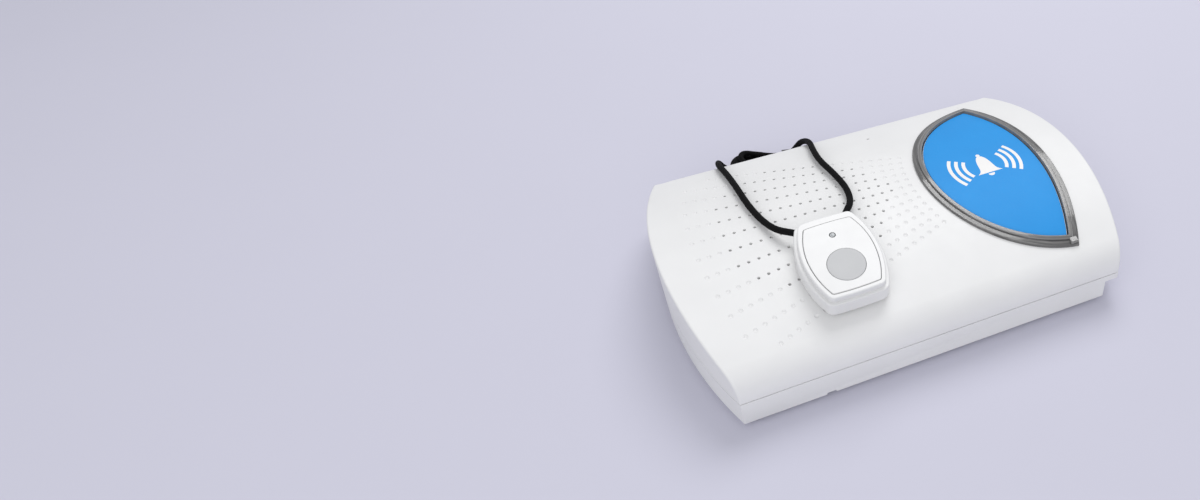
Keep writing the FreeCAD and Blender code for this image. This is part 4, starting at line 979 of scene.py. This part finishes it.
def makeRing():
    # section with a spigot that reaches down beside the key, an outer band, a step and a raised rim
    sizes = ringSizes
    under, foot, step, rim, small = (sizes[n] for n in ("under", "foot", "step", "rim", "small"))
    outline, outward = section([
        (0, under, 0), (sizes["spigot"], under, 0), (sizes["spigot"], foot, small),
        (sizes["wide"], foot, small), (sizes["wide"], rim, sizes["round"]),
        (sizes["outer"], rim, sizes["rimRound"]), (sizes["outer"], step, small), (0, step, sizes["round"])])
    skin = Skin()
    lensSweep(skin, outline, outward)
    addPost(skin)
    show(skin.mesh("ring"), "smoky_bezel", "base", "button_bezel")


def addPost(skin):
    # upright block with rounded corners, whose top edge turns in by edge (1 - cos a) over edge (1 - sin a)
    sizes = ringSizes
    length, width, top = sizes["post"]
    edge = sizes["round"]
    plan, outward = section([(x * length / 2, y * width / 2, edge)
                             for x, y in ((-1, -1), (1, -1), (1, 1), (-1, 1))])
    turn = np.append(0, quarter)
    rise = top - edge * (1 - np.sin(turn))
    rise[0] = sizes["under"]
    place = plan[:, None] - outward[:, None] * edge * (1 - np.cos(turn[:, None])) + sizes["postPlace"]
    points = raised(place, crownHeight(place[..., 1], rise))
    # the post takes the tone of one band of the ring, painted highlight and shade included
    paintedTone = np.broadcast_to([sizes["postBand"], 0], place.shape)
    skin.grid(points, raised(outward[:, None] * np.cos(turn[:, None]), np.sin(turn)), paintedTone)
    for rim, facing in ((points[:, 0], downward), (points[:, -1], -downward)):
        skin.fan(rim, rim.mean(0), facing, paintedTone[:, :2].swapaxes(0, 1))


def makeFilm():
    # its top and underside run straight across from the left arc to the right one
    sizes = filmSizes
    skin = Skin()
    lensSweep(skin, *plateEdge(sizes["inset"], sizes["low"], sizes["top"], sizes["round"]))
    u = np.linspace(-1, 1, lensSizes["sweepSteps"] + 1)
    share = np.linspace(0, 1, sizes["columns"] + 1)[:, None]
    faces = ((sizes["top"], sizes["inset"] + sizes["round"], 1), (sizes["low"], sizes["inset"], -1))
    for rise, inset, way in faces:
        left, right = (lensPoint(side, u, inset)[0][:, None] for side in ("left", "right"))
        place = left * (1 - share) + right * share
        skin.grid(raised(place, crownHeight(place[..., 1], rise)), way * crownNormal(place[..., 1]))
    show(skin.mesh("key_film"), "blue_key", "help_button", "button_film")


markSizes = {
    "middle": (50.5, -2.0), "ink": 0.03,
    "bellLow": -5.4, "bellHigh": 6.6, "body": 3.5, "flare": 2.5, "shoulder": 2.6, "fade": 9,
    "clapper": (1.5, -6.1), "knob": (0.95, 7.1),     # radius, and height above the mark's middle
    "waves": (9.6, 12.8, 16.0), "waveWide": 1.6, "waveHalf": 34.0,
}


def inkPatch(skin, place, disc=False):
    # thin raised ink: top over a grid of plan points, and a skirt down to the film round its four sides,
    # or round the last row of a disc
    place = place + markSizes["middle"]
    upper, lower = (raised(place, crownHeight(place[..., 1], filmSizes["top"] + rise))
                    for rise in (markSizes["ink"], -markSizes["ink"]))
    skin.grid(upper, crownNormal(place[..., 1]))
    skin.grid(lower, -crownNormal(place[..., 1]))
    sides = [(np.s_[-1], np.s_[-2]), (np.s_[0], np.s_[1]),
             (np.s_[:, 0], np.s_[:, 1]), (np.s_[:, -1], np.s_[:, -2])]
    for line, inside in sides[:1] if disc else sides:
        skin.strip(upper[line], lower[line], raised(place[line] - place[inside], 0)[:, None])


def makeMark():
    # bell between two sets of sound waves; the bell's half width is body sqrt(1 - t^shoulder) plus
    # flare (1 - t) exp(-fade t), t being the share of its height
    sizes = markSizes
    skin = Skin()
    share = np.linspace(0, 1, 25)[:, None]
    half = sizes["body"] * np.sqrt(1 - share ** sizes["shoulder"])
    half = half + sizes["flare"] * np.exp(-sizes["fade"] * share) * (1 - share)
    across = half * np.linspace(-1, 1, 9)
    height = sizes["bellLow"] * (1 - share) + sizes["bellHigh"] * share
    inkPatch(skin, np.stack([across, height + 0 * across], -1))
    # half a disc below the bell and a whole one on top, both from the left round the lower side
    for (radius, high), turns in ((sizes["clapper"], 0.5), (sizes["knob"], 1)):
        rim = unit(math.pi + np.linspace(0, turns * 2 * math.pi, 17))
        inkPatch(skin, np.linspace(0, radius, 4)[:, None, None] * rim + (0, high), turns == 1)
    spread = np.radians(np.linspace(-sizes["waveHalf"], sizes["waveHalf"], 25))
    for radius in sizes["waves"]:
        wide = radius + np.linspace(-0.5, 0.5, 3)[:, None, None] * sizes["waveWide"]
        for side in (-1, 1):
            inkPatch(skin, wide * unit(spread) * (side, 1))
    show(skin.mesh("key_mark"), "white_print", "help_button", slot="white_key")


# pendant, in its own frame: x right, y away, w up from its underside
pendantSizes = {
    "place": (-29.35, -32.3), "tilt": 10.89, "under": 34.72,
    # outline: half length and half width, radius of the bulged sides, corners, and the ends' arch
    "half": 20.0, "waist": 16.75, "bulge": 42.0, "corner": 3.6, "cornerShrink": 0.75, "cornerLeast": 0.5,
    "arch": 0.45, "rear": 1.3,
    # heights, edges, and insets from the outline
    "shell": 7.15, "shellFoot": 1.2, "shellEdge": 0.6, "inside": 6.0,
    "cover": 9.7, "coverInset": 1.45, "coverInside": 5.0, "coverEdge": 0.55, "lap": 0.4,
    "recess": 3.15, "recessFloor": 8.3, "small": 0.12,
    "face": 9.92, "faceInset": 3.42, "faceEdge": 0.22,
    # button and light: place and radius, top, hollow of the top, gap to the face plate
    "button": (0.0, -5.7, 7.5), "buttonTop": 10.1, "dish": 0.25, "slip": 0.14,
    "light": (0.0, 9.2, 1.05), "lightTop": 10.02, "lightDish": -0.1, "lightSlip": 0.3,
    "discEdge": 0.3, "holeSides": 64,
}


def tilted(points):
    # turns points or directions of the pendant's frame about X, so that it lies on the crown
    cos, sin = unit(math.radians(pendantSizes["tilt"]))
    x, y, w = np.moveaxis(points, -1, 0)
    return np.stack([x, y * cos - w * sin, y * sin + w * cos], -1)


def showOnPendant(skin, name, finish, body, *nodes):
    # moves a whole skin from the pendant's frame to the part's
    place = np.array([*pendantSizes["place"], pendantSizes["under"]])
    skin.corners = [tilted(corners) + place for corners in skin.corners]
    skin.normals = [tilted(normals) for normals in skin.normals]
    show(skin.mesh(name), finish, body, *nodes)


def barrel(inset, rear):
    # outline with two bulged sides, two nearly straight ends and round corners, from the right's middle
    # anticlockwise: a quarter of it is worked out and then mirrored
    sizes = pendantSizes
    half, bulge = sizes["half"] - inset, sizes["bulge"] - inset
    corner = max(sizes["corner"] - inset * sizes["cornerShrink"], sizes["cornerLeast"])
    middle = sizes["waist"] - sizes["bulge"]
    cornerY = half - corner
    cornerX = middle + math.sqrt((bulge - corner) ** 2 - cornerY ** 2)
    reach = math.atan2(cornerY, cornerX - middle)
    side = np.linspace(0, reach, 15)[:-1]
    turn = np.linspace(reach, math.pi / 2, 9)
    flat = np.linspace(1, 0, 9)[1:]
    points = np.concatenate([unit(side) * bulge + (middle, 0), unit(turn) * corner + (cornerX, cornerY),
                             np.stack([cornerX * flat, half + 0 * flat], 1)])
    normals = np.concatenate([unit(side), unit(turn), np.stack([0 * flat, 1 + 0 * flat], 1)])
    # the ends arch outwards towards their middle
    lift = sizes["arch"] * np.clip(1 - (points[:, 0] / (cornerX + corner)) ** 2, 0, 1)
    points[:, 1] += np.where(points[:, 1] > cornerY, lift, 0)

    def mirrored(values):
        left = values[::-1][1:] * (-1, 1)
        upper = np.concatenate([values, left])
        lower = upper[::-1][1:] * (1, -1)
        return np.concatenate([upper, lower])

    points = mirrored(points)
    points[:, 1] *= np.where(points[:, 1] > 0, 1 - rear / half, 1)
    return points, mirrored(normals)


def barrelSweep(skin, outline, outward, rear):
    # stacks barrel outlines: a section point is (inset, height), and rear draws its far end in
    points, normals = [], []
    for (inset, height), (across, up), drawn in zip(outline, outward, rear + 0 * outline[:, 0]):
        ring, facing = barrel(inset, drawn)
        points.append(raised(ring, height))
        normals.append(raised(-across * facing, up))
    skin.grid(np.stack(points, 1), np.stack(normals, 1))
    return points


def makePendantShell():
    # rounded side carried round the outline, closed by a lid at each end
    sizes = pendantSizes
    top, inside, steps = sizes["shell"], sizes["inside"], 6
    outline, outward = section([(inside, 0, 0), (inside, top, 0), (0, top, sizes["shellEdge"]),
                                (0, 0, sizes["shellFoot"])], steps)
    skin = Skin()
    # the first corner's points and the run up from it lie inside the shell and are left out
    rings = barrelSweep(skin, outline[steps + 1:], outward[steps + 1:], 0)
    skin.fan(rings[0], np.array([0, 0, top]), -downward)
    skin.fan(rings[-1], np.array([0, 0, 0]), downward)
    showOnPendant(skin, "pendant_case", "pendant_white", "pendant", "pendant_shell", "pendant_seal")


def makePendantCover():
    # stepped rim round the recess of the face plate
    sizes = pendantSizes
    floor, foot = sizes["recessFloor"], sizes["shell"] - sizes["lap"]
    outline, outward = section([
        (sizes["coverInset"], foot, 0), (sizes["coverInside"], foot, 0), (sizes["coverInside"], floor, 0),
        (sizes["recess"], floor, 0), (sizes["recess"], sizes["cover"], sizes["small"]),
        (sizes["coverInset"], sizes["cover"], sizes["coverEdge"])], 6)
    skin = Skin()
    inner = outline[:, 0] > (sizes["recess"] + sizes["coverInset"]) / 2
    barrelSweep(skin, outline, outward, sizes["rear"] * inner)
    showOnPendant(skin, "pendant_rim", "pendant_white", "pendant", "pendant_front")


def makePendantFace():
    # plate with the holes of the button and the light
    sizes = pendantSizes
    low, high, sides = sizes["recessFloor"], sizes["face"], sizes["holeSides"]
    skin = Skin()
    rings = barrelSweep(skin, *plateEdge(sizes["faceInset"], low, high, sizes["faceEdge"]), sizes["rear"])
    slips = ((sizes["button"], sizes["slip"]), (sizes["light"], sizes["lightSlip"]))
    holes = [circle(radius + slip, sides) + (x, y) for (x, y, radius), slip in slips]
    for height, rim, facing in ((high, rings[-1], -downward), (low, rings[0], downward)):
        flat, loops = gather([rim[:-1, :2], *holes])
        skin.add(raised(flat, height), np.broadcast_to(facing, (len(flat), 3)), fill(flat, loops))
    for hole in holes:
        hole = closed(hole)
        skin.strip(raised(hole, low), raised(hole, high), raised(hole[:-1].mean(0) - hole, 0)[:, None])
    showOnPendant(skin, "pendant_plate", "pendant_white", "pendant", "pendant_face")


def turned(skin, profile, x, y, steps=48):
    # turns a profile of (radius, height, outward radius, outward height) about an upright axis
    around = unit(np.linspace(0, 2 * math.pi, steps + 1))[:, None]
    radius, height, out, up = np.array(profile, float).T
    skin.grid(raised(radius[:, None] * around + (x, y), height), raised(out[:, None] * around, up))


def roundedDisc(radius, low, high, edge, dish):
    # profile of a disc from its underside's middle over a rounded upper edge to its top's middle, which
    # lies dish (1 - share^2) below the plane of the edge
    rows = [(0, low, 0, -1), (radius, low, 0, -1), (radius, low, 1, 0)]
    rows += [(radius - edge * (1 - math.cos(a)), high - edge * (1 - math.sin(a)), math.cos(a), math.sin(a))
             for a in quarter]
    inner = radius - edge
    rows += [(inner * share, high - dish * (1 - share ** 2), -2 * dish * share / inner, 1)
             for share in (0.8, 0.6, 0.4, 0.2, 0.0)]
    return rows


def makePendantButton():
    # hollow-topped button, and the domed lens of the light
    sizes = pendantSizes
    floor, edge = sizes["recessFloor"], sizes["discEdge"]
    x, y, radius = sizes["button"]
    skin = Skin()
    turned(skin, roundedDisc(radius, floor, sizes["buttonTop"], edge, sizes["dish"]), x, y, 96)
    showOnPendant(skin, "pendant_key", "pendant_grey", "pendant_button", "pendant_button")
    x, y, radius = sizes["light"]
    skin = Skin()
    disc = roundedDisc(radius, floor - sizes["lap"], sizes["lightTop"], edge, sizes["lightDish"])
    turned(skin, disc, x, y)
    showOnPendant(skin, "pendant_lens", "clear_lens", "pendant", "pendant_light")


feetSizes = {
    "places": ((70, 45), (-70, 45), (-70, -45), (70, -45)),
    "radius": 5.0, "high": 2.3, "edge": 0.5, "dish": 0.35,
}


def makeFeet():
    # round pads whose rounded edge and shallow dish look down
    sizes = feetSizes
    skin = Skin()
    profile = [(radius, sizes["high"] - height, out, -up) for radius, height, out, up in
               roundedDisc(sizes["radius"], 0, sizes["high"], sizes["edge"], sizes["dish"])]
    for x, y in sizes["places"]:
        turned(skin, profile, x, y)
    show(skin.mesh("feet"), "rubber_grey", "base", "rubber_feet")


# nodes that keep their shape and get small rounds on their edges: width of the rounds in mm, and the finish
softSizes = {
    "base_shell": (0.3, "white_case"), "help_button": (0.15, "white_key"),
    "power_inlet": (0.15, "black_plastic"), "power_switch_frame": (0.15, "black_plastic"),
    "power_switch_slider": (0.15, "black_plastic"),
}
softAngles = {"flat": 1, "smooth": 32, "edge": 40}    # up to which faces join, shade as one, get no round
bodyNodes = frame["record"]["behaviour"]["bodies"]


def softened(node, width, finish):
    # copy of a node's mesh, its points merged and flat triangles joined, with small rounds on its edges
    flat, smooth, edge = (math.radians(softAngles[n]) for n in ("flat", "smooth", "edge"))
    mesh = frame["nodes"][node].data.copy()
    mesh.name = node + "_soft"
    form = bmesh.new()
    form.from_mesh(mesh)
    bmesh.ops.remove_doubles(form, verts=form.verts, dist=1e-6)
    bmesh.ops.dissolve_limit(form, angle_limit=flat, verts=form.verts, edges=form.edges)
    form.to_mesh(mesh)
    form.free()
    mesh.polygons.foreach_set("use_smooth", np.ones(len(mesh.polygons), bool))
    mesh.set_sharp_from_angle(angle=smooth)
    body = next(name for name, nodes in bodyNodes.items() if node in nodes)
    bevel = show(mesh, finish, body, node).modifiers.new("edges", "BEVEL")
    bevel.width = width * milli
    bevel.segments = 2
    bevel.limit_method = "ANGLE"
    bevel.angle_limit = edge
    bevel.harden_normals = True


makeCamera()
dressNodes()
makeCord()
makeCover()
makeRing()
makeFilm()
makeMark()
makePendantShell()
makePendantCover()
makePendantFace()
makePendantButton()
makeFeet()
for node, (width, finish) in softSizes.items():
    softened(node, width, finish)


stageSizes = {
    # half the floor's side in metres, its colour, shade and size of its clouds, roughness and gloss
    "floor": 12.0, "floorColour": (0.60, 0.595, 0.69), "floorShade": 0.985, "floorCloud": 60,
    "floorRough": 0.9, "floorGloss": 0.2,
    "sky": (0.95, 0.96, 1.0, 1.0), "skyStrength": 0.58,
    # each round lamp's place and width in metres, and its power; all look at the middle of the part's foot
    "key": ((0.35, 0.45, 0.9), 0.7, 5.2), "fill": ((-0.7, -0.6, 0.9), 0.9, 2.3),
    "front": ((-0.45, -1.4, 0.7), 1.2, 5.5),
}


def makeStage():
    # wide pale floor
    colour, half = stageSizes["floorColour"], stageSizes["floor"]
    finish = Finish("floor")
    darker = [c * stageSizes["floorShade"] for c in colour]
    material = finish.shade({
        "Base Color": finish.blend(finish.noise(stageSizes["floorCloud"], 3), colour, darker),
        "Roughness": stageSizes["floorRough"],
        "Specular IOR Level": stageSizes["floorGloss"],
    })
    mesh = bpy.data.meshes.new("floor")
    corners = [(-half, -half, 0), (half, -half, 0), (half, half, 0), (-half, half, 0)]
    mesh.from_pydata(corners, [], [(0, 1, 2, 3)])
    mesh.materials.append(material)
    floor = bpy.data.objects.new("floor", mesh)
    bpy.context.scene.collection.objects.link(floor)


def makeLight(name):
    # round lamp turned to the origin
    place, size, power = stageSizes[name]
    data = bpy.data.lights.new(name, "AREA")
    data.shape = "DISK"
    data.size = size
    data.energy = power
    light = bpy.data.objects.new(name, data)
    light.location = place
    light.rotation_euler = (-Vector(place)).to_track_quat("-Z", "Y").to_euler()
    bpy.context.scene.collection.objects.link(light)


def makeLights():
    world = bpy.data.worlds.new("studio")
    world.use_nodes = True
    background = world.node_tree.nodes["Background"]
    background.inputs["Color"].default_value = stageSizes["sky"]
    background.inputs["Strength"].default_value = stageSizes["skyStrength"]
    bpy.context.scene.world = world
    for name in ("key", "fill", "front"):
        makeLight(name)
    bpy.context.scene.view_settings.view_transform = "Standard"
    print("floor and lights made")


makeStage()
makeLights()
